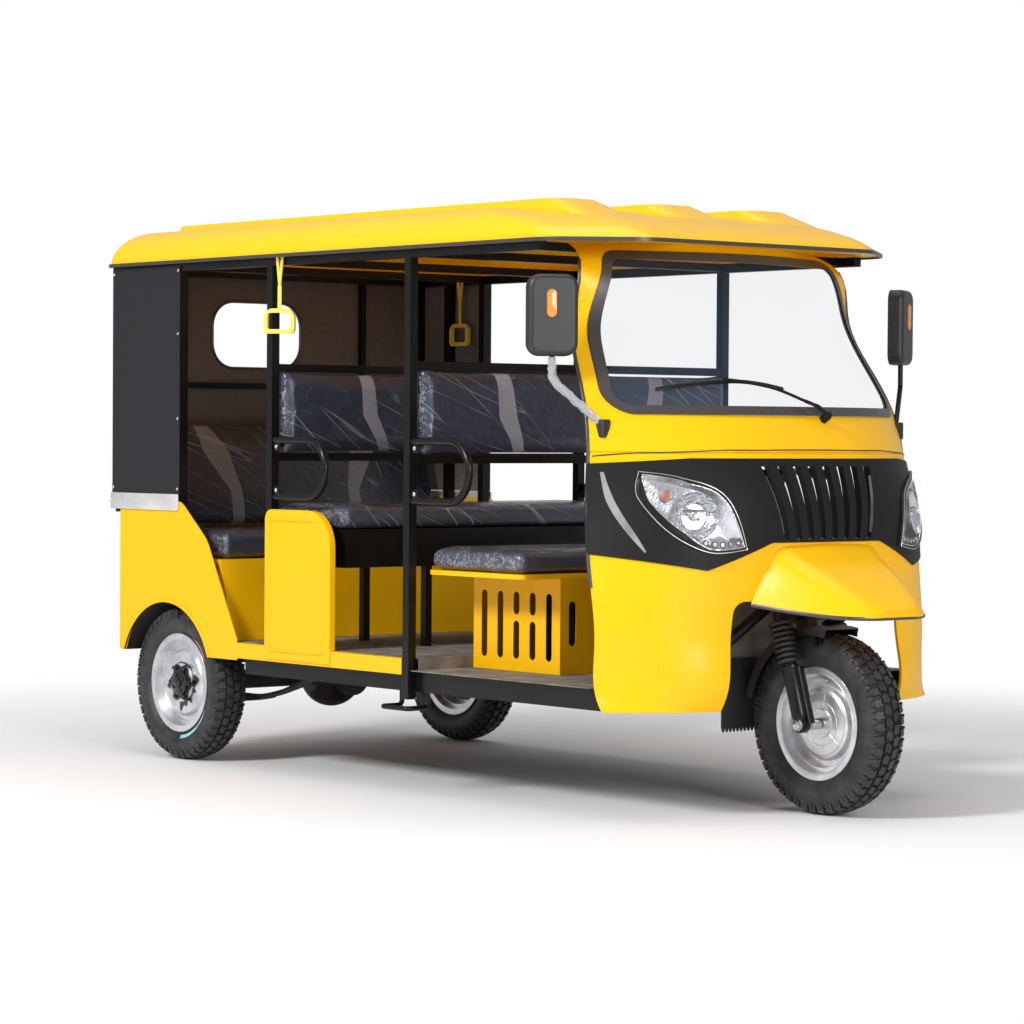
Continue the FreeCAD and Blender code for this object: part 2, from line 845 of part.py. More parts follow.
def screen_prism(shrink):
    """Block through the cab with the outline of the windshield, made smaller all round by shrink."""
    low = screen_bottom + shrink
    high = screen_top - shrink
    middle = (screen_bottom + screen_top) / 2
    half = (screen_top - screen_bottom) / 2
    slope_low = (screen_bottom_half_width - screen_middle_half_width) / half
    slope_high = (screen_middle_half_width - screen_top_half_width) / half
    lean_low = math.hypot(1, slope_low)
    lean_high = math.hypot(1, slope_high)
    half_low = screen_bottom_half_width - slope_low * shrink - shrink * lean_low
    half_middle = screen_middle_half_width - shrink * (lean_low + lean_high) / 2
    half_high = screen_top_half_width + slope_high * shrink - shrink * lean_high
    start = cab_edge_x - cab_edge_rake - cab_screen_setback
    points = [Vector(start, -half_low, low), Vector(start, half_low, low),
              Vector(start, half_middle, middle), Vector(start, half_high, high),
              Vector(start, -half_high, high), Vector(start, -half_middle, middle)]
    corner = screen_corner - shrink
    radii = [corner, corner, screen_side_radius, corner, corner, screen_side_radius]
    return plate(points, radii, Vector(-start + overrun, 0, 0))


def nose_prism(points, radii, from_x):
    """Block along X with an outline given by (y, z) places."""
    places = [Vector(from_x, y, z) for y, z in points]
    return plate(places, radii, Vector(overrun - from_x, 0, 0))


def band_prism():
    """Outline of the dark front band, seen from the front."""
    wide = body_half_width + overrun
    low_out = (band_bottom_low_y, band_bottom_low)
    points = [
        (-wide, band_bottom_side), (-low_out[0], low_out[1]), (-band_beak_y, band_bottom_centre),
        (band_beak_y, band_bottom_centre), (low_out[0], low_out[1]), (wide, band_bottom_side),
        (wide, band_top_side), (band_bottom_low_y, band_top_centre), (-band_bottom_low_y, band_top_centre),
        (-wide, band_top_side)]
    return nose_prism(points, 0, cab_edge_x - cab_edge_rake)


def grille_prism(grow):
    """Outline of the grille opening, narrower at the bottom."""
    low = grille_bottom - grow
    high = grille_top + grow
    points = [(-grille_bottom_half_width - grow, low), (grille_bottom_half_width + grow, low),
              (grille_top_half_width + grow, high), (-grille_top_half_width - grow, high)]
    return nose_prism(points, lamp_corner / 2, cab_edge_x)


def lamp_prism(grow):
    """Outline of the right-hand headlamp, a leaf rising outwards along the band."""
    width = lamp_outer_y - lamp_inner_y
    height = lamp_top - lamp_bottom
    middle_y = (lamp_outer_y + lamp_inner_y) / 2
    middle_z = (lamp_top + lamp_bottom) / 2
    points = []
    for y_share, z_share in zip(lamp_y_shares, lamp_z_shares):
        y = lamp_inner_y + y_share * width
        z = lamp_bottom + z_share * height
        points.append((-y - grow * (y - middle_y) * 2 / width, z + grow * (z - middle_z) * 2 / height))
    radii = [lamp_tip, 2 * lamp_corner, lamp_corner, lamp_tip, lamp_corner, 2 * lamp_corner, lamp_corner]
    return nose_prism(points, radii, cab_edge_x - cab_edge_rake)


def well_prism():
    """Opening in the cab's nose for the front wheel."""
    points = [(-well_half_width_low, underside_height - overrun), (-well_half_width_high, well_top_height),
              (well_half_width_high, well_top_height), (well_half_width_low, underside_height - overrun)]
    return nose_prism(points, [0, well_corner, well_corner, 0], cab_edge_x - overrun)


def nose_groove():
    """Fine groove pressed into the nose above the band."""
    slab = block(cab_edge_x - cab_edge_rake, 0, -body_half_width, body_half_width,
                 groove_height - groove_width / 2, groove_height + groove_width / 2)
    return slab.cut(cab_form(-groove_depth, overrun))


def cab_shell():
    """Cab pressing: nose, sides and windshield pillars in one wall."""
    wall = cab_form(0, 0).cut(cab_form(-cab_wall, overrun))
    cuts = [screen_prism(0), well_prism(), lamp_prism(lamp_gap), mirrored(lamp_prism(lamp_gap)),
            grille_prism(seat_gap), nose_groove()]
    return wall.cut(cuts)


def grille_bars():
    """Upright bars of the grille, one between each pair of slots."""
    bars = []
    for k in range(grille_slot_count + 1):
        share = 2 * k / grille_slot_count - 1
        half_bar = grille_bar_share * grille_top_half_width / grille_slot_count
        low_y = share * (grille_bottom_half_width - half_bar)
        high_y = share * (grille_top_half_width - half_bar)
        points = [(low_y - half_bar, grille_bottom), (low_y + half_bar, grille_bottom),
                  (high_y + half_bar, grille_top), (high_y - half_bar, grille_top)]
        bars.append(nose_prism(points, 0, cab_edge_x))
    return bars


def grille_band():
    """Dark moulding around the nose, with the grille bars and the lamp openings."""
    skin = cab_form(band_skin, overrun).cut(cab_form(seat_gap, 2 * overrun))
    band = skin.common(band_prism())
    opening = grille_prism(0)
    band = band.cut([lamp_prism(lamp_gap), mirrored(lamp_prism(lamp_gap)), opening])
    front_half = block(cab_edge_x - cab_edge_rake, overrun, -2 * body_half_width, 2 * body_half_width,
                       underside_height, roof_lip_height)
    edge_clip = cab_form(2 * band_skin, 0)
    band = band.common(edge_clip).common(front_half)
    depth_skin = cab_form(band_skin, 0).cut(cab_form(band_skin - grille_depth, overrun))
    bars = [depth_skin.common(bar).common(opening) for bar in grille_bars()]
    return merged([band] + bars)


def headlamp():
    """Right-hand lamp body behind a curved lens."""
    skin = cab_form(band_skin + lamp_proud, 0).cut(cab_form(-lamp_depth, overrun))
    return skin.common(lamp_prism(0))


def front_fender():
    """Beak over the front wheel: a hollow moulding that narrows and drops to its tip."""
    def beak(shrink, extra):
        sections = []
        for share, low_half, top_half, low, top in zip(
                beak_x_shares, beak_low_half_widths, beak_top_half_widths, beak_low_heights,
                beak_top_heights):
            x = beak_root_x + share * (front_overhang - shrink - beak_root_x)
            points = [Vector(x, -low_half + shrink, low - extra), Vector(x, -top_half + shrink, top - shrink),
                      Vector(x, top_half - shrink, top - shrink), Vector(x, low_half - shrink, low - extra)]
            sections.append(outline(points, [0, beak_corner / 2, beak_corner / 2, 0]))
        return Part.makeLoft(sections, True, True)
    shell = beak(0, 0).cut(beak(beak_wall, overrun))
    return shell.cut(cab_form(seat_gap, overrun))


def windshield_seal():
    """Rubber frame that holds the glass in the cab."""
    skin = cab_form(seal_proud, overrun).cut(cab_form(-seal_behind, 2 * overrun))
    ring = screen_prism(seat_gap).cut(screen_prism(seal_width))
    groove = cab_form(-glass_wall / 2 + glass_wall + seat_gap, overrun).cut(
        cab_form(-glass_wall / 2 - seat_gap, 2 * overrun)).common(screen_prism(seal_width - glass_tuck))
    return skin.common(ring).cut(groove)


def windshield_glass():
    """Curved pane whose edge sits in the seal."""
    pane = cab_form(glass_wall / 2, overrun).cut(cab_form(-glass_wall / 2, 2 * overrun))
    return pane.common(screen_prism(seal_width - glass_tuck + seat_gap))


def roof_outline(side_inset, front_inset, rear_inset, z):
    """Plan outline of the roof, moved inwards at its sides, front and rear."""
    rear = roof_rear_x + rear_inset
    half = roof_half_width - side_inset
    front = roof_front_x - front_inset
    corner_x = roof_front_corner_x - front_inset
    corner_y = roof_front_corner_y - side_inset / 2
    points = [Vector(rear, -half, z), Vector(corner_x, -half, z), Vector(front, -corner_y, z),
              Vector(front, corner_y, z), Vector(corner_x, half, z), Vector(rear, half, z)]
    front_radius = roof_corner_radius
    return outline(points, [roof_rear_radius, front_radius, front_radius,
                            front_radius, front_radius, roof_rear_radius])


def roof_form(inset, drop):
    """Dome inside the roof's surface, steep at the sides and long at the front."""
    sections = []
    for k in range(roof_section_count):
        turn = math.pi / 2 * k / (roof_section_count - 1)
        inward = 1 - math.cos(turn)
        z = roof_lip_height + (roof_rise - drop) * math.sin(turn)
        sections.append(roof_outline(
            inset + inward * roof_side_inset, inset + inward ** roof_front_share * roof_front_inset,
            inset + inward * roof_rear_inset, z))
    return Part.makeLoft(sections, True, False)


def roof_ribs(wall):
    """Three raised ribs along the roof whose front ends run out on the dome."""
    ribs = []
    foot_z = roof_lip_height + roof_rise - rib_foot_drop
    top_z = roof_lip_height + roof_rise + rib_height - wall
    for middle_y in (-rib_spacing, 0, rib_spacing):
        sections = []
        for z, slope, front in ((foot_z, 0, rib_front_x + rib_front_run), (top_z, rib_slope, rib_front_x)):
            half = rib_half_width - wall - slope
            rear = rib_rear_x + wall + slope
            ahead = front - wall
            points = [Vector(rear, middle_y - half, z), Vector(ahead, middle_y - half, z),
                      Vector(ahead, middle_y + half, z), Vector(rear, middle_y + half, z)]
            sections.append(outline(points, rib_corner))
        ribs.append(Part.makeLoft(sections, True, True))
    return ribs


def flat_block(inset, low, high):
    """Upright block with the roof's outline."""
    return Part.Face(roof_outline(inset, inset, inset, low)).extrude(Vector(0, 0, high - low))


def roof_shell():
    """Moulded roof: an inverted ribbed tray with a flange that rests on the cage."""
    flange_top = roof_lip_height + roof_wall
    inner = roof_form(trim_wall + roof_wall, roof_wall).fuse(roof_ribs(roof_wall))
    keep = flat_block(0, flange_top, roof_lip_height + roof_rise + rib_height)
    opening = flat_block(roof_flange, roof_lip_height - overrun, flange_top)
    shelf = block(roof_front_x - roof_front_shelf, roof_front_x, -roof_half_width, roof_half_width,
                  roof_lip_height - 2 * overrun, flange_top)
    outer = roof_form(trim_wall, 0).fuse(roof_ribs(0))
    return outer.cut([inner.common(keep), opening.cut(shelf)]).removeSplitter()


def roof_trim():
    """Rubber strip round the roof's lip."""
    low = roof_lip_height - trim_height / 2
    ring = flat_block(0, low, low + trim_height)
    return ring.cut([roof_form(trim_wall - seat_gap, 0), flat_block(trim_wall - seat_gap, low - overrun,
                                                                    low + trim_height + overrun)])


def cage():
    """Right-hand side of the cage: pillars under a top rail."""
    top = cage_top
    y = -cage_y
    rail = square_bar(Vector(corner_pillar_x - tube / 2, y, top - tube / 2),
                      Vector(top_rail_front_x, y, top - tube / 2), tube)
    pieces = [rail]
    feet = (
        (corner_pillar_x, quarter_top - tube), (mid_pillar_x, quarter_top - tube),
        (rear_pillar_x, rear_board_height + seat_gap), (middle_pillar_x, sill_top + seat_gap),
        (front_pillar_x, front_pillar_foot))
    for x, foot in feet:
        pieces.append(square_bar(Vector(x, y, foot), Vector(x, y, top - tube / 2), tube))
    pieces.append(square_bar(Vector(corner_pillar_x, y, quarter_top - tube),
                             Vector(rear_pillar_x, y, quarter_top - tube), tube))
    return merged(pieces)


def roof_bows():
    """Cross tubes that join the two sides of the cage under the roof."""
    z = cage_top - bow_height / 2
    bows = []
    front_bow_x = cab_edge_x - cab_edge_rake - tube / 2 - seat_gap
    for x in (corner_pillar_x, rear_pillar_x, middle_pillar_x, front_pillar_x, front_bow_x):
        bows.append(square_bar(Vector(x, -cage_inside, z), Vector(x, cage_inside, z), bow_height))
    return bows


def backrest_rails():
    """Two cross tubes behind each of the two front backrests."""
    rails = []
    for x in (front_pillar_x, middle_pillar_x):
        for z in (backrest_top_rail, backrest_low_rail):
            rails.append(square_bar(Vector(x, -cage_inside, z), Vector(x, cage_inside, z),
                                    backrest_rail_tube))
    return rails


def rear_wall_frame():
    """Posts and rail on the inside of the rear wall."""
    x = rear_wall_x + wall_thickness + wall_rail_side / 2
    top = cage_top - bow_height - seat_gap
    pieces = [square_bar(Vector(x, -cage_inside, wall_rail_height), Vector(x, cage_inside, wall_rail_height),
                         wall_rail_side)]
    for y in (-wall_post_y, wall_post_y):
        pieces.append(square_bar(Vector(x, y, rear_wall_bottom), Vector(x, y, top), wall_rail_side))
    return merged(pieces)


def rear_wall():
    """Canvas rear wall with a window, on two posts and a cross rail."""
    top = roof_lip_height - seat_gap
    half = cage_y + tube / 2
    wall = block(rear_wall_x, rear_wall_x + wall_thickness - seat_gap, -half, half, rear_wall_bottom, top)
    window = plate(
        [Vector(rear_wall_x - overrun, y, z) for y, z in (
            (rear_window_low_y, rear_window_bottom), (rear_window_high_y, rear_window_bottom),
            (rear_window_high_y, rear_window_top), (rear_window_low_y, rear_window_top))],
        rear_window_corner, Vector(wall_thickness + 2 * overrun, 0, 0))
    return wall.cut(window)


def tail_panel():
    """Lower rear panel between the quarter panels."""
    half = cage_inside
    return block(quarter_rear_x, quarter_rear_x + board_wall, -half, half, quarter_bottom, quarter_top)


def side_curtain():
    """Right-hand rear curtain outside the cage."""
    inner_y = -body_half_width
    return block(
        corner_pillar_x - tube / 2, rear_pillar_x + tube / 2, inner_y - curtain_thickness, inner_y,
        curtain_bottom + hem_height, roof_lip_height - trim_height)


def curtain_hem():
    """Folded strip that holds the curtain's lower edge."""
    inner_y = -skin_outside - seat_gap
    hem = block(
        corner_pillar_x - tube / 2, rear_pillar_x + tube / 2, inner_y - hem_thickness, inner_y,
        curtain_bottom - hem_height, curtain_bottom + hem_height - seat_gap)
    return hem


def rear_quarter():
    """Right-hand rear quarter panel with its wheel arch, arch liner and sill."""
    y = -skin_outside
    arch_radius = rear_tyre_radius + arch_gap
    points = [
        Vector(quarter_rear_x, y, quarter_bottom), Vector(quarter_rear_x, y, quarter_top),
        Vector(quarter_shoulder_x, y, quarter_top), Vector(quarter_waist_x, y, quarter_waist_z),
        Vector(quarter_front_x, y, quarter_slope_z), Vector(quarter_front_x, y, quarter_bottom)]
    radii = [0, 0, quarter_corner, quarter_corner * 2, 0, 0]
    skin = plate(points, radii, Vector(0, panel_skin, 0))
    sill = block(quarter_front_x - overrun, sill_front_x, y, y + panel_skin, sill_bottom, sill_top)
    flange = block(quarter_front_x - overrun, sill_front_x, y, y + sill_flange, sill_top - sheet, sill_top)
    centre = Vector(rear_axle_x - arch_setback, y - overrun, rear_tyre_radius)
    arch = Part.makeCylinder(arch_radius, panel_skin + 2 * overrun, centre, Vector(0, 1, 0))
    depth = skin_outside - panel_skin / 2 - liner_inner_y
    liner_radius = rear_tyre_radius + liner_gap
    start = Vector(rear_axle_x, -liner_inner_y - depth, rear_tyre_radius)
    liner = Part.makeCylinder(liner_radius + liner_wall, depth, start, Vector(0, 1, 0))
    hollow = Part.makeCylinder(liner_radius, depth, start, Vector(0, 1, 0))
    above = block(
        quarter_rear_x + board_wall + seat_gap, rear_axle_x + 2 * liner_radius, y, -liner_inner_y,
        quarter_bottom, quarter_top)
    liner = liner.cut(hollow).common(above)
    lip_start = centre + Vector(0, overrun - arch_lip_height, 0)
    lip = Part.makeCylinder(arch_radius + arch_lip_width, arch_lip_height + panel_skin, lip_start,
                            Vector(0, 1, 0)).common(
        block(quarter_rear_x, quarter_front_x, y - arch_lip_height, y + panel_skin, quarter_bottom, quarter_top))
    return merged([skin.fuse(lip).cut(arch), sill, flange, liner])


def side_panel():
    """Right-hand panel beside the middle row, with a rounded top front corner."""
    y = -skin_outside - seat_gap - panel_skin
    points = [
        Vector(side_panel_rear_x, y, side_panel_bottom), Vector(side_panel_rear_x, y, side_panel_top),
        Vector(side_panel_front_x, y, side_panel_top), Vector(side_panel_front_x, y, side_panel_bottom)]
    panel = plate(points, [0, quarter_corner / 2, side_panel_corner, 0], Vector(0, side_panel_thickness, 0))
    sill = block(side_panel_rear_x - overrun, side_panel_front_x + overrun, -skin_outside - seat_gap,
                 0, side_panel_bottom - overrun, sill_top + seat_gap)
    half = tube / 2 + seat_gap
    pillar = block(middle_pillar_x - half, middle_pillar_x + half, -cage_y - half, 0, side_panel_bottom,
                   side_panel_top + overrun)
    return panel.cut([sill, pillar])


def driver_seat_box():
    """Slotted box under the driver's bench, with the board on top."""
    floor = front_floor_height + seat_gap
    outer = block(driver_box_rear_x, driver_box_front_x, -driver_box_half_width, driver_box_half_width,
                  floor, driver_board_bottom)
    inner = block(driver_box_rear_x + sheet, driver_box_front_x - sheet, -driver_box_half_width + sheet,
                  driver_box_half_width - sheet, floor - overrun, driver_board_bottom)
    box = outer.cut(inner)
    slots = []
    middle_x = (driver_box_front_x + driver_box_rear_x) / 2
    across = Vector(0, 2 * driver_box_half_width + 2 * overrun, 0)
    for k in range(slot_count):
        x = middle_x + slot_pitch * (k - (slot_count - 1) / 2)
        foot = Vector(x, -driver_box_half_width - overrun, slot_bottom)
        if slot_bridge_start <= k < slot_bridge_start + slot_bridge_count:
            low_length = slot_bridge_height - slot_bridge / 2 - slot_bottom
            slots.append(slot_cut(foot, Vector(1, 0, 0), across, low_length))
            foot.z = slot_bridge_height + slot_bridge / 2
            slots.append(slot_cut(foot, Vector(1, 0, 0), across, slot_bottom + slot_length - foot.z))
        else:
            slots.append(slot_cut(foot, Vector(1, 0, 0), across, slot_length))
    for k in range(front_slot_count):
        y = front_slot_pitch * (k - (front_slot_count - 1) / 2)
        slots.append(slot_cut(Vector(driver_box_front_x - overrun, y, front_slot_bottom), Vector(0, 1, 0),
                              Vector(2 * overrun, 0, 0), front_slot_length))
    board = plate(
        [Vector(driver_board_rear_x, -driver_board_half_width, driver_board_bottom),
         Vector(driver_board_front_x, -driver_board_half_width, driver_board_bottom),
         Vector(driver_board_front_x, driver_board_half_width, driver_board_bottom),
         Vector(driver_board_rear_x, driver_board_half_width, driver_board_bottom)],
        board_corner, Vector(0, 0, board_thickness))
    return merged([box.cut(slots), board])


def slot_cut(foot, across, through, length):
    """Upright slot with round ends."""
    half = across * (slot_width / 2)
    rise = Vector(0, 0, length)
    points = [foot - half, foot + half, foot + half + rise, foot - half + rise]
    return plate(points, slot_width / 2 - seat_gap, through)


def cushion(rear_x, front_x, half_width, low, height, corner):
    """Plain seat pad with rounded upright corners."""
    points = [Vector(rear_x, -half_width, low), Vector(front_x, -half_width, low),
              Vector(front_x, half_width, low), Vector(rear_x, half_width, low)]
    pad = plate(points, corner, Vector(0, 0, height))
    top = [edge for edge in pad.Edges if edge.BoundBox.ZMin > low + height / 2]
    return pad.makeFillet(corner / 2, top)


def driver_seat_cushion():
    """Full-width pad of the driver's bench."""
    low = driver_board_bottom + board_thickness + seat_gap
    return cushion(
        driver_board_rear_x + driver_cushion_margin, driver_board_front_x - driver_cushion_margin,
        driver_board_half_width - driver_cushion_margin, low, driver_cushion_height, cushion_corner)


def middle_bench_frame():
    """Skirted frame of the middle bench on four tube legs."""
    skirt_low = middle_bench_board - middle_skirt
    outer = block(middle_bench_rear_x, middle_bench_front_x, -middle_bench_half_width,
                  middle_bench_half_width, skirt_low, middle_bench_board)
    inner = block(middle_bench_rear_x + sheet, middle_bench_front_x - sheet,
                  -middle_bench_half_width + sheet, middle_bench_half_width - sheet,
                  skirt_low - overrun, middle_bench_board - board_thickness)
    legs = []
    for x in (middle_bench_rear_x + bench_leg, middle_bench_front_x - bench_leg):
        for y in (-bench_leg_y, bench_leg_y):
            legs.append(square_bar(Vector(x, y, rear_floor_height + seat_gap),
                                   Vector(x, y, middle_bench_board - board_thickness), bench_leg))
    return merged([outer.cut(inner)] + legs)


def middle_bench_cushion():
    """Pad of the middle bench."""
    return cushion(middle_bench_rear_x, middle_bench_front_x, middle_bench_half_width,
                   middle_bench_board + seat_gap, middle_cushion_height, cushion_corner)


def rear_bench_base():
    """Sloping front board and seat board of the rear bench."""
    low = rear_floor_height + seat_gap
    front = [Vector(rear_board_front_x, 0, rear_board_height), Vector(rear_board_foot_x, 0, low),
             Vector(rear_board_foot_x - board_wall, 0, low),
             Vector(rear_board_front_x - board_wall, 0, rear_board_height - board_thickness)]
    half = rear_bench_half_width
    shift = Vector(0, -half, 0)
    board = plate([p + shift for p in front], 0, Vector(0, 2 * half, 0))
    seat = block(rear_board_rear_x, rear_board_front_x, -half, half,
                 rear_board_height - board_thickness, rear_board_height)
    return merged([board, seat])


def rear_bench_cushion():
    """Pad of the rear bench."""
    return cushion(rear_backrest_foot_x + seat_gap, rear_cushion_front_x, rear_bench_half_width - cushion_corner,
                   rear_board_height + seat_gap, rear_cushion_height, cushion_corner)


def upright_pad(x, half_width, low, high, thickness):
    """Backrest pad standing in front of its rails."""
    points = [Vector(x, -half_width, low), Vector(x, half_width, low),
              Vector(x, half_width, high), Vector(x, -half_width, high)]
    return plate(points, cushion_corner, Vector(thickness, 0, 0))


def rail_backrest(pillar_x):
    """Backrest pad held between the two cross tubes at a pair of pillars."""
    half_rail = backrest_rail_tube / 2
    low = backrest_low_rail + half_rail + seat_gap
    high = backrest_top_rail - half_rail - seat_gap
    return upright_pad(pillar_x - half_rail, backrest_half_width, low, high, backrest_thickness)


def rear_backrest():
    """Leaning backrest of the rear bench."""
    pad = upright_pad(rear_backrest_foot_x - backrest_thickness, rear_backrest_half_width,
                      rear_backrest_bottom, rear_backrest_top, backrest_thickness)
    pad.rotate(Vector(rear_backrest_foot_x, 0, rear_backrest_bottom), Vector(0, 1, 0),
               -rear_backrest_lean_degrees)
    return pad


def grab_handles():
    """Two looped handles on the right-hand pillars."""
    handles = []
    for x in (middle_pillar_x, front_pillar_x):
        start_x = x + tube / 2
        end_x = start_x + handle_reach
        path = [Vector(start_x, -cage_y, handle_top - handle_radius),
                Vector(end_x - handle_radius, -cage_y, handle_top - handle_radius),
                Vector(end_x - handle_radius, -cage_y, handle_bottom + handle_radius),
                Vector(start_x, -cage_y, handle_bottom + handle_radius)]
        handles.append(bent_bar(path, handle_radius, handle_bend))
    return Part.Compound(handles)


def hand_strap(x, y, turn_degrees):
    """Folded webbing with a ring that hangs from under the roof."""
    half = strap_width / 2
    join_z = strap_top - strap_join
    low = strap_top - strap_length - ring_outer_height
    through = Vector(0, strap_thickness, 0)
    strands = []
    for side in (-1, 1):
        foot = Vector(0, -strap_thickness / 2, join_z)
        head = Vector(side * strap_spread / 2, -strap_thickness / 2, strap_top)
        width = Vector(half / 2, 0, 0)
        strands.append(plate([foot - width, foot + width, head + width, head - width], 0, through))
    tail = block(-half / 2, half / 2, -strap_thickness / 2, strap_thickness / 2,
                 low + ring_outer_height - ring_bar, join_z)
    half_ring = ring_outer_width / 2
    outer = [Vector(-half_ring, -ring_bar / 2, low), Vector(half_ring, -ring_bar / 2, low),
             Vector(half_ring, -ring_bar / 2, low + ring_outer_height),
             Vector(-half_ring, -ring_bar / 2, low + ring_outer_height)]
    inner = [Vector(p.x - math.copysign(ring_bar, p.x), -ring_bar,
                    p.z + math.copysign(ring_bar, low + ring_outer_height / 2 - p.z)) for p in outer]
    foot_corner = ring_corner / 2
    ring = plate(outer, [foot_corner, foot_corner, ring_corner, ring_corner], Vector(0, ring_bar, 0)).cut(
        plate(inner, foot_corner - ring_bar / 2, Vector(0, 2 * ring_bar, 0)))
    hanging = tail.fuse(ring)
    hanging.rotate(Vector(0, 0, 0), Vector(0, 0, 1), turn_degrees)
    strap = merged(strands + [hanging])
    strap.translate(Vector(x, y, 0))
    return strap


def hand_straps():
    """One strap outside the right-hand pillar and one inside the left-hand curtain."""
    return Part.Compound([hand_strap(near_strap_x, -near_strap_y, strap_turn_degrees),
                          hand_strap(far_strap_x, far_strap_y, 0)])


def mirror_housing():
    """Right-hand mirror housing, turned so that its back faces outwards."""
    half = mirror_width / 2
    points = [Vector(0, -half, 0), Vector(0, half, 0), Vector(0, half, mirror_height),
              Vector(0, -half, mirror_height)]
    body = plate(points, mirror_corner, Vector(mirror_depth, 0, 0))
    front = [edge for edge in body.Edges if edge.BoundBox.XMin > mirror_depth / 2]
    body = body.makeFillet(mirror_depth / 3, front)
    body.rotate(Vector(0, 0, 0), Vector(0, 0, 1), -mirror_turn_degrees)
    body.translate(Vector(mirror_x, -mirror_y, mirror_bottom))
    return body


def mirror_arm():
    """Right-hand mirror arm from the pillar's foot up into the housing."""
    turn = math.radians(mirror_turn_degrees)
    depth = Vector(math.cos(turn), -math.sin(turn), 0) * (mirror_depth / 2)
    top = Vector(mirror_x, -mirror_y, mirror_bottom - seat_gap) + depth
    foot = Vector(mirror_foot_x, -mirror_foot_y, mirror_foot_z)
    elbow = Vector(top.x, top.y, mirror_elbow_z)
    base = rod(foot - Vector(0, 0, mirror_arm_radius * 3), foot + Vector(0, 0, mirror_arm_radius * 2),
               mirror_arm_radius * 2)
    arm = bent_bar([foot, elbow, top], mirror_arm_radius, mirror_arm_radius * 3)
    return merged([base, arm]).cut(cab_form(seat_gap, 0))


def rear_axle():
    """Axle tubes, differential and the stubs that carry the rear wheels."""
    half = track / 2 - drum_width - 2 * seat_gap
    middle = Vector(rear_axle_x, 0, rear_tyre_radius)
    beam = rod(middle - Vector(0, half, 0), middle + Vector(0, half, 0), axle_tube_radius)
    stub_end = track / 2 + rear_stub_length - seat_gap
    stub = rod(middle - Vector(0, stub_end, 0), middle + Vector(0, stub_end, 0), rear_stub_radius)
    belly = Part.makeSphere(differential_radius, middle)
    ends = differential_length / 2
    nose = rod(middle, middle + Vector(differential_radius + overrun, 0, 0), axle_tube_radius * 2)
    slab = block(middle.x - 2 * differential_radius, middle.x + 2 * differential_radius, -ends, ends, 0,
                 2 * rear_tyre_radius)
    return merged([beam, stub, belly.common(slab), nose])


def leaf_spring():
    """Right-hand stack of leaves under the axle, with eyes and two U-bolts."""
    y = -inner_rail_half_spacing - spring_width / 2
    centre_z = rear_tyre_radius - axle_tube_radius - seat_gap
    leaves = []
    for k in range(spring_leaf_count):
        share = 1 - k * spring_taper_share
        front = rear_axle_x + share * (spring_eye_front_x - rear_axle_x)
        rear = rear_axle_x + share * (spring_eye_rear_x - rear_axle_x)
        top_z = centre_z - k * spring_leaf
        lift = (spring_eye_height - centre_z) * share * share
        upper = Part.Arc(Vector(rear, y, top_z + lift), Vector(rear_axle_x, y, top_z),
                         Vector(front, y, top_z + lift)).toShape()
        drop = Vector(0, 0, -spring_leaf)
        lower = upper.copy()
        lower.translate(drop)
        ends = [Part.makeLine(upper.Vertexes[0].Point, lower.Vertexes[0].Point),
                Part.makeLine(upper.Vertexes[-1].Point, lower.Vertexes[-1].Point)]
        section = Part.Face(Part.Wire(Part.__sortEdges__([upper, lower] + ends)))
        leaves.append(section.extrude(Vector(0, spring_width, 0)))
    eyes = []
    for x in (spring_eye_front_x, spring_eye_rear_x):
        start = Vector(x, y, spring_eye_height)
        eyes.append(Part.makeCylinder(spring_eye_radius, spring_width, start, Vector(0, 1, 0)))
    return merged(leaves + eyes + axle_clamps(y, centre_z - spring_leaf_count * spring_leaf))


def axle_clamps(spring_y, stack_bottom):
    """Two U-bolts over the axle tube and the plate that they draw up under the leaves."""
    reach = axle_tube_radius + seat_gap + clamp_bar_radius
    shift = clamp_bar_radius + seat_gap
    plate_half = reach + 2 * clamp_bar_radius
    foot = stack_bottom - clamp_plate - clamp_bar_radius
    pieces = [block(rear_axle_x - plate_half, rear_axle_x + plate_half, spring_y - 2 * shift - clamp_bar_radius,
                    spring_y + spring_width + 2 * shift + clamp_bar_radius, stack_bottom - clamp_plate,
                    stack_bottom)]
    for y in (spring_y - shift, spring_y + spring_width + shift):
        path = [Vector(rear_axle_x - reach, y, foot), Vector(rear_axle_x - reach, y, rear_tyre_radius + reach),
                Vector(rear_axle_x + reach, y, rear_tyre_radius + reach), Vector(rear_axle_x + reach, y, foot)]
        pieces.append(bent_bar(path, clamp_bar_radius, reach - clamp_bar_radius))
    return pieces


def engine_block():
    """Engine under the driver's bench, as one plain block."""
    half_length = engine_length / 2
    half_width = engine_width / 2
    low = front_floor_height + seat_gap
    return block(engine_x - half_length, engine_x + half_length, -half_width, half_width, low,
                 low + engine_height)


def drive_shaft():
    """Shaft from under the floor back to the differential."""
    start = Vector(shaft_front_x, 0, rail_top - cross_member_height - shaft_radius - seat_gap)
    end = Vector(rear_axle_x + differential_radius + overrun + seat_gap, 0, rear_tyre_radius)
    ahead = block(end.x, start.x, -shaft_radius, shaft_radius, 0, rail_top)
    return rod(start, Vector(rear_axle_x, 0, rear_tyre_radius), shaft_radius).common(ahead)


def tail_lamps():
    """Lamp clusters on the tail panel."""
    half = tail_lamp_width / 2
    x = quarter_rear_x - seat_gap
    lamp = plate(
        [Vector(x, -tail_lamp_y - half, tail_lamp_z), Vector(x, -tail_lamp_y + half, tail_lamp_z),
         Vector(x, -tail_lamp_y + half, tail_lamp_z + tail_lamp_height),
         Vector(x, -tail_lamp_y - half, tail_lamp_z + tail_lamp_height)],
        mirror_corner / 2, Vector(-tail_lamp_depth, 0, 0))
    return both_sides(lamp)


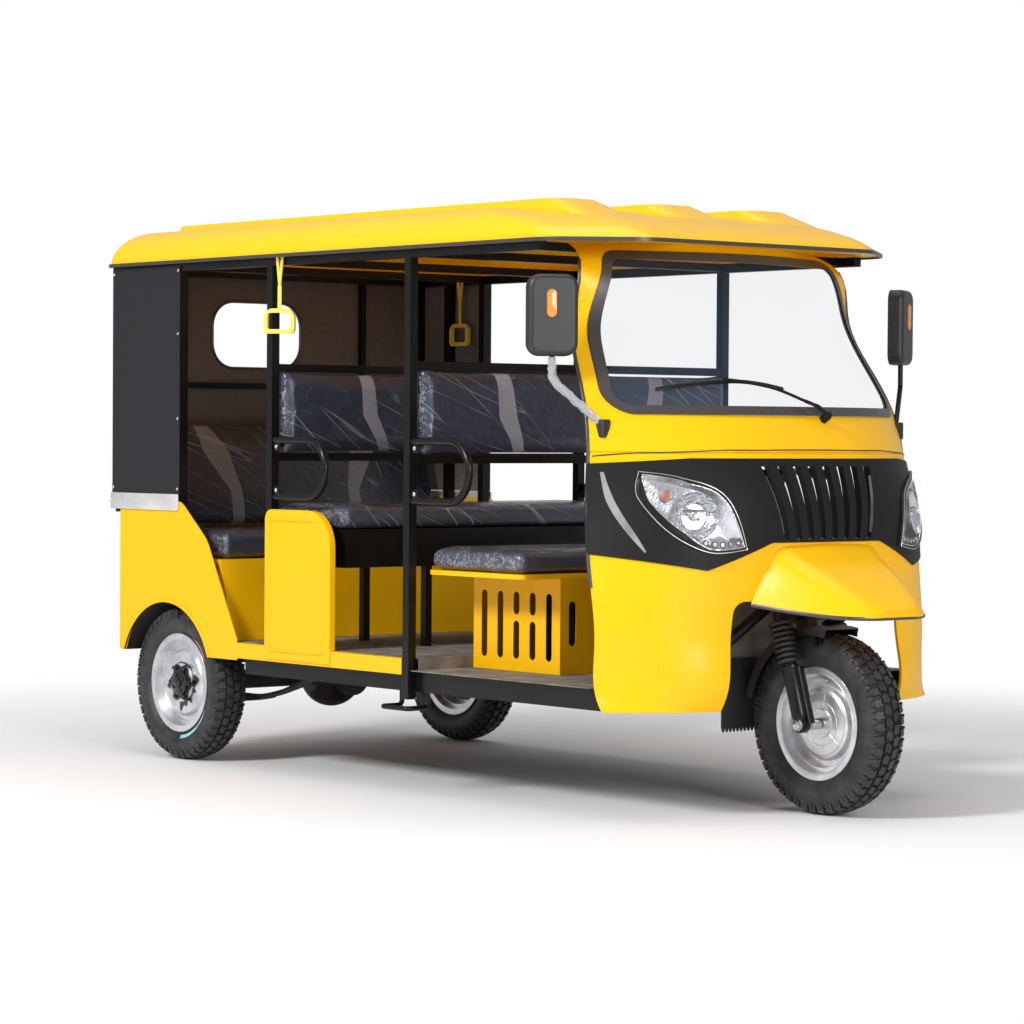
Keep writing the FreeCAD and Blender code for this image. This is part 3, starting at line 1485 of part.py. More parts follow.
def mud_flap():
    """Rubber flap behind the front wheel."""
    return block(flap_x - flap_thickness, flap_x, -flap_half_width, flap_half_width, flap_bottom, flap_top)


def dashboard():
    """Shelf under the windshield, open towards the nose."""
    skin = cab_form(-cab_wall - seat_gap, 2 * overrun)
    shelf = skin.common(block(dash_rear_x, 0, -body_half_width, body_half_width, dash_bottom, dash_top))
    hollow = cab_form(-cab_wall - dash_wall, 0).common(
        block(dash_rear_x + dash_wall, 0, -body_half_width, body_half_width, dash_bottom - overrun,
              dash_top - dash_wall))
    return shelf.cut(hollow)


def save(name, shape):
    """Moves a piece to the middle of the length and writes it."""
    placed = shape.copy()
    placed.translate(Vector(-middle_of_length, 0, 0))
    placed.exportStep("parts/" + name + ".step")
    print(name, "solids", len(placed.Solids), "valid", placed.isValid())


def main():
    os.makedirs("parts", exist_ok=True)
    right_tyre = tyre(rear_tyre_radius, rear_tyre_width, -track / 2, rear_axle_x)
    right_rim = rear_rim()
    save("front_tyre", tyre(front_tyre_radius, front_tyre_width, 0, 0))
    save("front_rim", front_rim())
    save("rear_tyre_right", right_tyre)
    save("rear_rim_right", right_rim)
    save("rear_tyre_left", mirrored(right_tyre))
    save("rear_rim_left", mirrored(right_rim))
    save("fork", fork())
    save("front_axle", front_axle())
    save("shock_absorbers", both_sides(shock_absorber()))
    save("handlebar", handlebar())
    save("front_mudguard", front_mudguard())
    save("chassis_frame", chassis_frame())
    save("floor_deck", floor_deck())
    save("cab_shell", cab_shell())
    save("grille_band", grille_band())
    save("headlamps", both_sides(headlamp()))
    save("front_fender", front_fender())
    save("windshield_seal", windshield_seal())
    save("windshield_glass", windshield_glass())
    save("roof_shell", roof_shell())
    save("roof_trim", roof_trim())
    save("side_cages", both_sides(cage()))
    save("cross_tubes", Part.Compound(roof_bows() + backrest_rails() + [rear_wall_frame()]))
    save("rear_wall", rear_wall())
    save("tail_panel", tail_panel())
    save("side_curtains", both_sides(side_curtain()))
    save("curtain_hems", both_sides(curtain_hem()))
    save("rear_quarters", both_sides(rear_quarter()))
    save("side_panels", both_sides(side_panel()))
    save("driver_seat_box", driver_seat_box())
    save("middle_bench_frame", middle_bench_frame())
    save("rear_bench_base", rear_bench_base())
    save("seat_cushions", Part.Compound(
        [driver_seat_cushion(), middle_bench_cushion(), rear_bench_cushion()]))
    save("backrests", Part.Compound(
        [rail_backrest(front_pillar_x), rail_backrest(middle_pillar_x), rear_backrest()]))
    save("grab_handles", both_sides(grab_handles()))
    save("hand_straps", hand_straps())
    save("mirror_housings", both_sides(mirror_housing()))
    save("mirror_arms", both_sides(mirror_arm()))
    save("rear_axle", rear_axle())
    save("leaf_springs", both_sides(leaf_spring()))
    save("engine_block", engine_block())
    save("drive_shaft", drive_shaft())
    save("tail_lamps", tail_lamps())
    save("mud_flap", mud_flap())
    save("dashboard", dashboard())


main()
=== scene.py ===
import json
import logging
import math
from dataclasses import dataclass, field, replace
from enum import Enum
from typing import Any, Optional, Sequence

import bmesh
import bpy
from mathutils import Matrix, Vector, noise
from mathutils.bvhtree import BVHTree

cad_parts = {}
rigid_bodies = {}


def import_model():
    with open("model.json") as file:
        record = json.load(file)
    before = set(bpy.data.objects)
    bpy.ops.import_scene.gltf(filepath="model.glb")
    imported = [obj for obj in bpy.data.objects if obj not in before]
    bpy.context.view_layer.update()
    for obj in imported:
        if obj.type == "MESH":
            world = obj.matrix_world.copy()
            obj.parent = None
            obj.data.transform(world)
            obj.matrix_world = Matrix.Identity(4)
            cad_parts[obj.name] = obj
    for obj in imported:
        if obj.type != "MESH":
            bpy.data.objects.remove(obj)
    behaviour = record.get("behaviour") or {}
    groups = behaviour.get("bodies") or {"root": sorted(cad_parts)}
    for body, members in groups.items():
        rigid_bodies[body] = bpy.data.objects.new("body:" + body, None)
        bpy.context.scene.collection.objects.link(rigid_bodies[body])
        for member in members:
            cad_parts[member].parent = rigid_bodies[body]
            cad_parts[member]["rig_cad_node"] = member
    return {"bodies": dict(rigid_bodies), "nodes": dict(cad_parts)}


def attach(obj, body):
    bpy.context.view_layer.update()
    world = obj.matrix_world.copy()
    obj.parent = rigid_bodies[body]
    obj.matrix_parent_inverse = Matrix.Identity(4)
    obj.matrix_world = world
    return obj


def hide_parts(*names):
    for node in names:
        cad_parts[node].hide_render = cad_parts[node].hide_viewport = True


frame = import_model()
NODES: dict[str, bpy.types.Object] = frame["nodes"]
for stray in [o for o in bpy.data.objects if "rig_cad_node" not in o and o not in frame["bodies"].values()]:
    bpy.data.objects.remove(stray)
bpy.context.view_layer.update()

log = logging.getLogger("rickshaw")

BMesh = bmesh.types.BMesh
Socket = bpy.types.NodeSocket
Triple = tuple[float, float, float]
Pair = tuple[float, float]

MM = 0.001
SHIFT = 1.293
"""Distance from the front axle to the middle of the length, in metres."""
SIDES = {-1: "right", 1: "left"}
AHEAD, LEFT, UP = Vector((1, 0, 0)), Vector((0, 1, 0)), Vector((0, 0, 1))
RAKE = math.radians(17)


def at(x: float, y: float, z: float) -> Vector:
    """Place in metres from millimetres, with x measured from the front axle."""
    return Vector((x * MM + SHIFT, y * MM, z * MM))


def turns(count: int) -> list[float]:
    """Angles evenly round a circle."""
    return [2 * math.pi * k / count for k in range(count)]


def mixed(start: Any, end: Any, share: float) -> Any:
    """Number or place between two others."""
    return start + (end - start) * share


# ---- Finishes


class Relief(Enum):
    """Kinds of fine surface relief that a finish may have."""

    SMOOTH = "smooth"
    PEEL = "peel"
    GRAIN = "grain"
    WEAVE = "weave"
    CRUMPLE = "crumple"
    WORN = "worn"


class Graph:
    """Node tree of a material or world, with short ways to add and join nodes."""

    def __init__(self, owner: bpy.types.ID) -> None:
        """Opens the owner's node tree."""
        owner.use_nodes = True
        self.nodes, self.links = owner.node_tree.nodes, owner.node_tree.links

    def fill(self, node: bpy.types.Node, values: dict[Any, Any]) -> None:
        """Sets a node's inputs.

        Args:
            node: The node.
            values: For each input's name or number, a socket to link or a value to set.
        """
        for key, value in values.items():
            if isinstance(value, Socket):
                self.links.new(value, node.inputs[key])
            else:
                node.inputs[key].default_value = value

    def add(self, kind: str, out: Any, values: dict[Any, Any], **settings: Any) -> Socket:
        """Adds a node.

        Args:
            kind: Its kind, without the words that all shader nodes begin with.
            out: Name or number of the output that is wanted.
            values: Inputs, as fill takes them.
            settings: Its other properties.

        Returns:
            The output.
        """
        node = self.nodes.new("ShaderNode" + kind)
        for name, value in settings.items():
            setattr(node, name, value)
        self.fill(node, values)
        return node.outputs[out]

    def place(self) -> Socket:
        """Object coordinates."""
        return self.add("TexCoord", "Object", {})

    def noise(self, scale: float, detail: float = 2.0, distortion: float = 0.0,
              vector: Optional[Socket] = None) -> Socket:
        """Noise pattern on the object's coordinates or on others."""
        return self.add("TexNoise", "Fac", {"Vector": vector or self.place(), "Scale": scale,
                                            "Detail": detail, "Distortion": distortion})

    def math(self, operation: str, *values: Any) -> Socket:
        """Result of an operation on sockets or numbers."""
        return self.add("Math", "Value", dict(enumerate(values)), operation=operation)

    def ramp(self, value: Socket, start: float, end: float) -> Socket:
        """Share from 0 to 1 that a value has come from start to end."""
        return self.add("MapRange", "Result", {"Value": value, "From Min": start, "From Max": end})

    def overlay(self, shader: bpy.types.Node, share: Socket, colour: Triple) -> None:
        """Lays a colour over a shader's base colour.

        Args:
            shader: The shader.
            share: How far the colour covers, from 0 to 1.
            colour: The colour.
        """
        base = shader.inputs["Base Color"]
        under = base.links[0].from_socket if base.is_linked else tuple(base.default_value)
        self.fill(shader, {"Base Color": self.add("Mix", 2, {"Factor": share, 6: under, 7: (*colour, 1)},
                                                  data_type="RGBA")})


@dataclass(frozen=True)
class Finish:
    """A surface finish, made into one procedural material.

    Attributes:
        name: Name of the material.
        colour: Base colour, linear red, green and blue.
        metallic: 1 for bare metal.
        roughness: Roughness of the base layer.
        coat: Weight of the clear layer on top.
        coat_roughness: Roughness of the clear layer.
        alpha: Opacity, below 1 for glass and film.
        relief: Kind of fine relief.
        scale: Size of the relief's cells, in metres.
        depth: Height of the relief, in metres.
        mottle: How far the colour wanders, as a share.
        edge: Radius by which hard edges look rounded, in metres.
        glow: Strength of a painted glow that the surface gives off though it is no lamp.
        glow_colour: Triple of that painted glow, for light that shines through.
        specular: Strength of the base layer's gloss, 0.5 for plain plastic.
        film: How far a clear film over the finish is creased, with painted highlights along the creases, 0 for
            none.
        band: Triple where the mesh's "band" attribute is above zero.
        under: Triple of the faces that look down.
    """

    name: str
    colour: Triple
    metallic: float = 0.0
    roughness: float = 0.5
    coat: float = 0.0
    coat_roughness: float = 0.04
    alpha: float = 1.0
    relief: Relief = Relief.SMOOTH
    scale: float = 0.004
    depth: float = 0.0
    mottle: float = 0.0
    edge: float = 0.0
    glow: float = 0.0
    glow_colour: Optional[Triple] = None
    specular: float = 0.5
    film: float = 0.0
    band: Optional[Triple] = None
    under: Optional[Triple] = None

    def material(self) -> bpy.types.Material:
        """The finish's material, made once."""
        return bpy.data.materials.get("look_" + self.name) or self.build()

    def build(self) -> bpy.types.Material:
        """Makes the material's nodes.

        Returns:
            The new material.
        """
        made = bpy.data.materials.new("look_" + self.name)
        graph = Graph(made)
        shader = graph.nodes["Principled BSDF"]
        graph.fill(shader, {"Base Color": (*self.colour, 1), "Metallic": self.metallic,
                            "Roughness": self.roughness, "Coat Weight": self.coat,
                            "Coat Roughness": self.coat_roughness, "Alpha": self.alpha,
                            "Specular IOR Level": self.specular})
        # Painted glow: emission on a surface that is no lamp.
        if self.glow > 0:
            graph.fill(shader, {"Emission Color": (*(self.glow_colour or self.colour), 1),
                                "Emission Strength": self.glow})
        if self.mottle > 0:
            graph.fill(shader, {"Base Color": self.mottled(graph)})
        normal = {}
        if self.edge > 0:
            normal = {"Normal": graph.add("Bevel", "Normal", {"Radius": self.edge})}
        if self.relief is not Relief.SMOOTH:
            normal = {"Normal": graph.add("Bump", "Normal", {
                "Distance": self.depth, "Height": self.height(graph), **normal})}
        graph.fill(shader, normal)
        if self.band:
            mark = graph.add("Attribute", "Fac", {}, attribute_name="band")
            graph.overlay(shader, graph.math("GREATER_THAN", mark, 0.0), self.band)
        if self.film > 0:
            self.add_film(graph, shader)
        if self.under:
            facing = graph.add("SeparateXYZ", "Z", {"Vector": graph.add("TexCoord", "Normal", {})})
            graph.overlay(shader, graph.math("LESS_THAN", facing, -0.2), self.under)
        return made

    def add_film(self, graph: Graph, shader: bpy.types.Node) -> None:
        """Clear film over the finish, with long slanting creases that catch the light, their highlights painted as
        pale streaks in the base colour.

        Args:
            graph: Nodes of the material.
            shader: Shader that the film lies on.
        """
        strokes = []
        for turn, scale, width in (((0.85, 0.06, 0.0), 9.0, 0.009), ((1.2, -0.06, 0.05), 15.0, 0.012)):
            slanted = graph.add("Mapping", "Vector", {"Vector": graph.place(), "Rotation": turn,
                                                      "Scale": (1, 1, 18)}, vector_type="TEXTURE")
            waves = graph.math("SUBTRACT", graph.noise(scale, 0, vector=slanted), 0.5)
            ridge = graph.ramp(graph.math("ABSOLUTE", waves), width, 0.0)
            strokes.append(graph.math("MULTIPLY", ridge, graph.ramp(graph.noise(3.4), 0.44, 0.56)))
        creases = graph.math("MAXIMUM", *strokes)
        relief = graph.math("ADD", creases, graph.noise(30, 5, 1.2))
        graph.fill(shader, {"Coat Normal": graph.add(
            "Bump", "Normal", {"Distance": 0.004 * self.film, "Height": relief})})
        # Painted highlight: pale streaks along the creases are laid into the base colour.
        graph.overlay(shader, graph.math("MULTIPLY", creases, 0.42 * self.film), (0.62, 0.63, 0.68))
        # Painted glints: pale flecks on the bunched film at the pad's ends.
        mark = graph.add("Attribute", "Fac", {}, attribute_name="end_glint_mask")
        glint_specks = graph.ramp(graph.noise(70, 3, 1.5), 0.50, 0.62)
        graph.overlay(shader, graph.math("MULTIPLY", glint_specks, mark), (0.60, 0.60, 0.64))

    def mottled(self, graph: Graph) -> Socket:
        """Base colour that wanders in broad patches.

        Args:
            graph: Nodes of the material.

        Returns:
            Socket that carries the colour.
        """
        patches = graph.noise(0.12 / max(self.scale, 0.002), 5)
        colour = graph.add("ValToRGB", "Color", {"Fac": patches})
        dark, light = colour.node.color_ramp.elements
        dark.position, light.position = 0.35, 0.68
        dark.color = (*(c * (1 - self.mottle) for c in self.colour), 1)
        light.color = (*(min(1, c * (1 + self.mottle)) for c in self.colour), 1)
        return colour

    def height(self, graph: Graph) -> Socket:
        """Height pattern of the relief.

        Args:
            graph: Nodes of the material.

        Returns:
            Socket that carries the height.
        """
        per_metre = 1 / self.scale
        if self.relief is Relief.WEAVE:
            return graph.math("MULTIPLY", *(graph.add("TexWave", "Fac", {
                "Vector": graph.place(), "Scale": per_metre / 6}, bands_direction=axis) for axis in "XZ"))
        if self.relief is Relief.GRAIN:
            return graph.add("TexVoronoi", "Distance", {"Vector": graph.place(), "Scale": per_metre})
        detail = {Relief.PEEL: 1, Relief.WORN: 8}.get(self.relief, 4)
        return graph.noise(per_metre, detail, 1.5 if self.relief is Relief.CRUMPLE else 0)


YELLOW = Finish("yellow_gloss", (0.94, 0.505, 0.002), roughness=0.34, coat=0.2, coat_roughness=0.16, edge=0.003,
                relief=Relief.PEEL, scale=0.02, depth=0.00006, specular=0.2)
# Painted light: the faint orange glow stands in for light shining through the translucent moulding.
ROOF = Finish("yellow_moulding", (0.90, 0.505, 0.005), roughness=0.34, coat=0.25, coat_roughness=0.15,
              edge=0.004, relief=Relief.PEEL, scale=0.03, depth=0.0001, specular=0.28, glow=0.06,
              glow_colour=(1.0, 0.42, 0.01))
BAND = Finish("band_satin", (0.0062, 0.0056, 0.0062), roughness=0.50, coat=0.05, coat_roughness=0.35,
              relief=Relief.GRAIN, scale=0.0016, depth=0.00008, edge=0.002, specular=0.26)
FRAME_BLACK = Finish("frame_enamel", (0.0048, 0.0043, 0.0040), roughness=0.34, coat=0.18, coat_roughness=0.1,
                     edge=0.002, relief=Relief.PEEL, scale=0.012, depth=0.0001, mottle=0.25, specular=0.22)
STEEL = Finish("bright_steel", (0.62, 0.61, 0.59), metallic=1, roughness=0.25, edge=0.001)
RIM = Finish("rim_silver", (0.74, 0.74, 0.765), metallic=0.85, roughness=0.30, coat=0.2, edge=0.002,
             mottle=0.16, scale=0.006)
RUBBER = Finish("tyre_rubber", (0.026, 0.0245, 0.026), roughness=0.46, relief=Relief.WORN, scale=0.005,
                depth=0.0004, mottle=0.45, specular=0.5)
SEAL = Finish("seal_rubber", (0.050, 0.044, 0.040), roughness=0.34, coat=0.2, coat_roughness=0.3)
PLASTIC = Finish("moulded_plastic", (0.022, 0.021, 0.022), roughness=0.42, relief=Relief.GRAIN,
                 scale=0.0015, depth=0.00012)
MAT = Finish("floor_mat", (0.20, 0.185, 0.165), roughness=0.75, relief=Relief.WORN, scale=0.01,
             depth=0.0012, mottle=0.35, under=(0.006, 0.0055, 0.005))
CANVAS = Finish("wall_canvas", (0.150, 0.112, 0.088), roughness=0.85, relief=Relief.WEAVE, scale=0.002,
                depth=0.0003, mottle=0.08)
CURTAIN = Finish("curtain_vinyl", (0.0135, 0.0122, 0.0155), roughness=0.55, relief=Relief.WEAVE,
                 scale=0.002, depth=0.0002, mottle=0.10, specular=0.35)
HEM = Finish("hem_aluminium", (0.74, 0.73, 0.72), metallic=0.5, roughness=0.38, mottle=0.08, scale=0.01)
SEAT = Finish("seat_vinyl", (0.020, 0.026, 0.054), roughness=0.42, coat=0.9, coat_roughness=0.07,
              relief=Relief.GRAIN, scale=0.003, depth=0.0002, mottle=0.18, film=1.0,
              band=(0.27, 0.265, 0.31))
SEAT_TOP = replace(SEAT, name="cushion_vinyl", colour=(0.046, 0.051, 0.076), film=1.2, band=None)
WEBBING = Finish("strap_webbing", (0.86, 0.62, 0.10), roughness=0.6, relief=Relief.WEAVE, scale=0.0016,
                 depth=0.0003)
CAST = Finish("cast_metal", (0.035, 0.032, 0.029), metallic=0.5, roughness=0.5, relief=Relief.WORN,
              scale=0.01, depth=0.0006, mottle=0.4)
GREASE = Finish("greasy_iron", (0.022, 0.020, 0.015), metallic=0.7, roughness=0.3, coat=0.6,
                coat_roughness=0.2, relief=Relief.WORN, scale=0.006, depth=0.0008, mottle=0.5)
RED_LAMP = Finish("red_lens", (0.42, 0.008, 0.006), roughness=0.15, coat=1.0)
GASKET = Finish("lamp_gasket", (0.005, 0.0048, 0.005), roughness=0.4, specular=0.3)
RUSSET = Finish("russet_lens", (0.40, 0.075, 0.018), roughness=0.2, coat=0.6, relief=Relief.GRAIN, scale=0.004,
                depth=0.0008, mottle=0.5)
AMBER = Finish("amber_lens", (0.78, 0.25, 0.015), roughness=0.25, coat=1.0, relief=Relief.GRAIN,
               scale=0.004, depth=0.0006)
ROSE_MARK = Finish("rose_paint", (0.62, 0.22, 0.26), roughness=0.6, mottle=0.3, scale=0.004)
TEAL_MARK = Finish("teal_paint", (0.30, 0.58, 0.60), roughness=0.6, mottle=0.25, scale=0.004)
# Painted reflection: the pane's blue base colour stands in for blue sky reflected where dark things lie behind it.
SKY_TINTED_GLASS = Finish("pane", (0.10, 0.17, 0.28), roughness=0.02, coat=0.6, alpha=0.07)
CLEAR = Finish("clear_lens", (0.9, 0.92, 0.95), roughness=0.02, coat=1.0, alpha=0.10)
CHROME = Finish("lamp_chrome", (0.66, 0.67, 0.70), metallic=1, roughness=0.20, relief=Relief.WORN,
                scale=0.012, depth=0.0012, mottle=0.25)
MIRRORED = Finish("lamp_reflector", (0.62, 0.64, 0.67), metallic=1, roughness=0.12, relief=Relief.GRAIN,
                  scale=0.009, depth=0.0016, mottle=0.3)
CRESCENT = Finish("crescent_silver", (0.62, 0.61, 0.60), metallic=0.9, roughness=0.28, mottle=0.25, scale=0.01)
LINING = Finish("curtain_lining", (0.17, 0.155, 0.142), roughness=0.85, relief=Relief.WEAVE, scale=0.002,
                depth=0.0003, mottle=0.12)
WRAP = Finish("clear_wrap", (0.80, 0.82, 0.84), roughness=0.12, coat=1.0, alpha=0.45, relief=Relief.CRUMPLE,
              scale=0.012, depth=0.004)
FLOOR = Finish("studio_floor", (0.86, 0.86, 0.87), roughness=0.9)

SLOT_FINISHES: dict[str, Finish] = {
    "tyre": RUBBER, "rim": RIM, "frame_black": FRAME_BLACK, "steel": STEEL, "black_plastic": PLASTIC,
    "floor_mat": MAT, "yellow_paint": YELLOW, "band_black": BAND, "lamp_lens": CLEAR, "rubber": SEAL,
    "glass": SKY_TINTED_GLASS, "canvas_inside": CANVAS, "curtain_vinyl": CURTAIN, "hem_metal": HEM,
    "seat_vinyl": SEAT, "yellow_webbing": WEBBING, "cast_metal": CAST, "lamp_red": RED_LAMP}


# ---- Making pieces


def placed(name: str, data: Any) -> bpy.types.Object:
    """New object in the scene, made of a mesh, a bmesh that is then freed, a light or a camera.

    Args:
        name: Its name.
        data: What it is made of.

    Returns:
        The object.
    """
    if isinstance(data, BMesh):
        bm, data = data, bpy.data.meshes.new(name)
        bm.to_mesh(data)
        bm.free()
    made = bpy.data.objects.new(name, data)
    bpy.context.scene.collection.objects.link(made)
    return made


@dataclass
class Piece:
    """What a new mesh needs to become a piece of the object.

    Attributes:
        name: Name of the piece.
        finish: Its finish.
        slot: Material slot of the record; not used.
        body: CAD body that it rides on.
        replaces: CAD nodes that it stands for.
        sharp: Angle above which an edge stays sharp, in degrees.
        second: Finish of the faces that look along a direction, with that direction.
    """

    name: str
    finish: Finish
    slot: str
    body: str = "chassis"
    replaces: tuple[str, ...] = ()
    sharp: float = 38
    second: Optional[tuple[Finish, Vector]] = None

    def make(self, bm: BMesh) -> bpy.types.Object:
        """Turns a bmesh into the finished object.

        Args:
            bm: The shape, which is freed.

        Returns:
            The new object, riding on its body.
        """
        bmesh.ops.recalc_face_normals(bm, faces=bm.faces[:])
        made = placed(self.name, bm)
        made.data.shade_smooth()
        made.data.set_sharp_from_angle(angle=math.radians(self.sharp))
        made.data.materials.append(self.finish.material())
        if self.second:
            made.data.materials.append(self.second[0].material())
            for face in made.data.polygons:
                face.material_index = 1 if face.normal.dot(self.second[1]) > 0.5 else 0
        return self.mount(made)

    def mount(self, made: bpy.types.Object) -> bpy.types.Object:
        """Puts a finished object on its body and the nodes that it stands for.

        Args:
            made: The object.

        Returns:
            The same object.
        """
        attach(made, self.body)
        if self.replaces:
            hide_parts(*self.replaces)
        log.info("%s: %d faces on %s", self.name, len(made.data.polygons), self.body)
        return made


@dataclass
class Sided:
    """Sub-assembly that comes once on each side of the vehicle.

    Attributes:
        side: Sign of the side, 1 for the left.
    """

    side: int

    @property
    def out(self) -> Vector:
        """Direction out of the vehicle."""
        return LEFT * self.side

    def piece(self, name: str, finish: Finish, slot: str, bm: BMesh, **more: Any) -> bpy.types.Object:
        """Makes a piece whose name begins with the side's."""
        return Piece(f"{SIDES[self.side]}_{name}", finish, slot, **more).make(bm)


def joined(parts: Sequence[BMesh]) -> BMesh:
    """All the parts in one bmesh.

    Args:
        parts: The parts, which are freed.

    Returns:
        The whole.
    """
    whole = bmesh.new()
    for part in parts:
        mesh = bpy.data.meshes.new("part")
        part.to_mesh(mesh)
        part.free()
        whole.from_mesh(mesh)
        bpy.data.meshes.remove(mesh)
    return whole


def bevelled(bm: BMesh, edges: Sequence[bmesh.types.BMEdge], radius: float, segments: int) -> None:
    """Rounds edges of a bmesh."""
    bmesh.ops.bevel(bm, geom=edges, offset=radius, segments=segments, affect="EDGES", profile=0.5, material=-1)


def extruded(bm: BMesh, faces: Sequence[bmesh.types.BMFace], offset: Vector,
             keep: bool = True) -> list[bmesh.types.BMVert]:
    """Grows faces of a bmesh along a direction.

    Args:
        bm: The bmesh.
        faces: Its faces.
        offset: From the faces to their new places.
        keep: Whether the first faces stay too.

    Returns:
        The new vertices.
    """
    grown = bmesh.ops.extrude_face_region(bm, geom=faces, use_keep_orig=keep)
    moved = [v for v in grown["geom"] if isinstance(v, bmesh.types.BMVert)]
    bmesh.ops.translate(bm, vec=offset, verts=moved)
    return moved


def block(first: Vector, last: Vector, bevel: float = 0.0, segments: int = 2) -> BMesh:
    """Rectangular block between two opposite corners, with rounded edges.

    Args:
        first: One corner.
        last: The other corner.
        bevel: Radius of the edges.
        segments: Steps round each edge.

    Returns:
        The block.
    """
    low, high = (Vector([pick(pair) for pair in zip(first, last)]) for pick in (min, max))
    bm = bmesh.new()
    bmesh.ops.create_cube(bm, size=1)
    bmesh.ops.scale(bm, vec=high - low, verts=bm.verts[:])
    bmesh.ops.translate(bm, vec=(low + high) / 2, verts=bm.verts[:])
    if bevel > 0:
        bevelled(bm, bm.edges[:], bevel, segments)
    return bm


def disc(centre: Vector, axis: Vector, radius: float, length: float, sides: int, bevel: float) -> BMesh:
    """Round, or with few sides angular, boss along an axis.

    Args:
        centre: Middle of the boss.
        axis: Direction of its axis.
        radius: Its radius.
        length: Length along the axis.
        sides: Number of sides.
        bevel: Radius of the end edges.

    Returns:
        The boss.
    """
    bm = bmesh.new()
    bmesh.ops.create_cone(bm, cap_ends=True, segments=sides, radius1=radius, radius2=radius, depth=length)
    bevelled(bm, [e for e in bm.edges if any(len(f.verts) > 4 for f in e.link_faces)], bevel, 2)
    bmesh.ops.rotate(bm, matrix=UP.rotation_difference(axis.normalized()).to_matrix(), verts=bm.verts[:])
    bmesh.ops.translate(bm, vec=centre, verts=bm.verts[:])
    return bm


def ball(centre: Vector, size: Triple, sides: int) -> BMesh:
    """Rounded body.

    Args:
        centre: Its middle.
        size: Its half sizes.
        sides: Steps round it.

    Returns:
        The body.
    """
    bm = bmesh.new()
    bmesh.ops.create_uvsphere(bm, u_segments=sides, v_segments=sides // 2, radius=1)
    bmesh.ops.scale(bm, vec=size, verts=bm.verts[:])
    bmesh.ops.translate(bm, vec=centre, verts=bm.verts[:])
    return bm


def ringed(rings: Sequence[Sequence[Vector]], closed: bool = False, caps: Sequence[int] = ()) -> BMesh:
    """Surface through closed rings of places.

    Args:
        rings: Rings with the same number of places.
        closed: Whether the last ring joins the first.
        caps: Numbers of the rings that are filled.

    Returns:
        The surface.
    """
    bm = bmesh.new()
    made = [[bm.verts.new(place) for place in ring] for ring in rings]
    for low, high in zip(made, made[1:] + (made[:1] if closed else [])):
        for k in range(len(low)):
            after = (k + 1) % len(low)
            bm.faces.new((low[k], low[after], high[after], high[k]))
    for cap in caps:
        bm.faces.new(made[cap])
    return bm


def sheeted(rows: Sequence[Sequence[Vector]], thick: Vector, closed: bool = False) -> BMesh:
    """Closed sheet from a grid of places.

    Args:
        rows: Rows of the grid.
        thick: From the grid to the other face.
        closed: Whether the rows are rings.

    Returns:
        Both faces and the edges between them.
    """
    bm = bmesh.new()
    made = [[bm.verts.new(place) for place in row] for row in rows]
    if closed:
        made = [row + row[:1] for row in made]
    faces = [bm.faces.new((low[k], low[k + 1], high[k + 1], high[k]))
             for low, high in zip(made, made[1:]) for k in range(len(low) - 1)]
    extruded(bm, faces, thick)
    return bm


def plated(outline: Sequence[Vector], thick: Vector) -> tuple[BMesh, list[bmesh.types.BMVert]]:
    """Flat plate from its outline.

    Args:
        outline: Places round it.
        thick: From this face to the other.

    Returns:
        The plate, with the vertices of the other face.
    """
    bm = bmesh.new()
    return bm, extruded(bm, [bm.faces.new([bm.verts.new(place) for place in outline])], thick)


def rims_of(bm: BMesh, verts: Sequence[bmesh.types.BMVert]) -> list[bmesh.types.BMEdge]:
    """Edges that join two of the vertices."""
    return [e for e in bm.edges if e.verts[0] in verts and e.verts[1] in verts]


def swept(points: Sequence[Vector], radii: Any, sides: int = 12, flat: float = 1.0, up: Vector = UP) -> BMesh:
    """Closed bar along a line of points.

    Args:
        points: Places along the middle of the bar.
        radii: Its radius, or one for each place.
        sides: Sides of the section.
        flat: Height of the section as a share of its width.
        up: Direction of the section's height.

    Returns:
        The bar.
    """
    radii = [radii] * len(points) if isinstance(radii, float) else radii
    rings = []
    for k, (place, radius) in enumerate(zip(points, radii)):
        ahead = (points[min(k + 1, len(points) - 1)] - points[max(k - 1, 0)]).normalized()
        side = up.cross(ahead).normalized()
        lift = ahead.cross(side)
        rings.append([place + (side * math.cos(t) + lift * math.sin(t) * flat) * radius
                      for t in (2 * math.pi * (s + 0.5) / sides for s in range(sides))])
    return ringed(rings, caps=(0, -1))


def looped(points: Sequence[Vector], radius: float, sides: int = 8) -> BMesh:
    """Closed bead of a round section along a closed line.

    Args:
        points: Places along the line, the last joining the first.
        radius: Radius of the section.
        sides: Sides of the section.

    Returns:
        The bead.
    """
    count = len(points)
    middle = sum(points, Vector()) / count
    rings = []
    for k, place in enumerate(points):
        ahead = (points[(k + 1) % count] - points[k - 1]).normalized()
        out = place - middle
        out = (out - ahead * out.dot(ahead)).normalized()
        lift = ahead.cross(out)
        rings.append([place + (out * math.cos(t) + lift * math.sin(t)) * radius for t in turns(sides)])
    return ringed(rings, closed=True)


def rounded_line(points: Sequence[Vector], steps: int) -> list[Vector]:
    """Smooth line through the points.

    Args:
        points: Places that the line passes through.
        steps: Steps between two places.

    Returns:
        Places along the line.
    """
    line = []
    ends = [points[0], *points, points[-1]]
    for before, start, end, after in zip(ends, ends[1:], ends[2:], ends[3:]):
        for t in (step / steps for step in range(steps)):
            line.append(0.5 * (2 * start + (end - before) * t + (2 * before - 5 * start + 4 * end - after) * t * t
                               + (3 * start - before - 3 * end + after) * t ** 3))
    return line + [points[-1].copy()]


def rounded_pairs(points: Sequence[Pair], steps: int) -> list[Pair]:
    """Smooth line through places in a plane."""
    return [(p.x, p.y) for p in rounded_line([Vector((*point, 0)) for point in points], steps)]


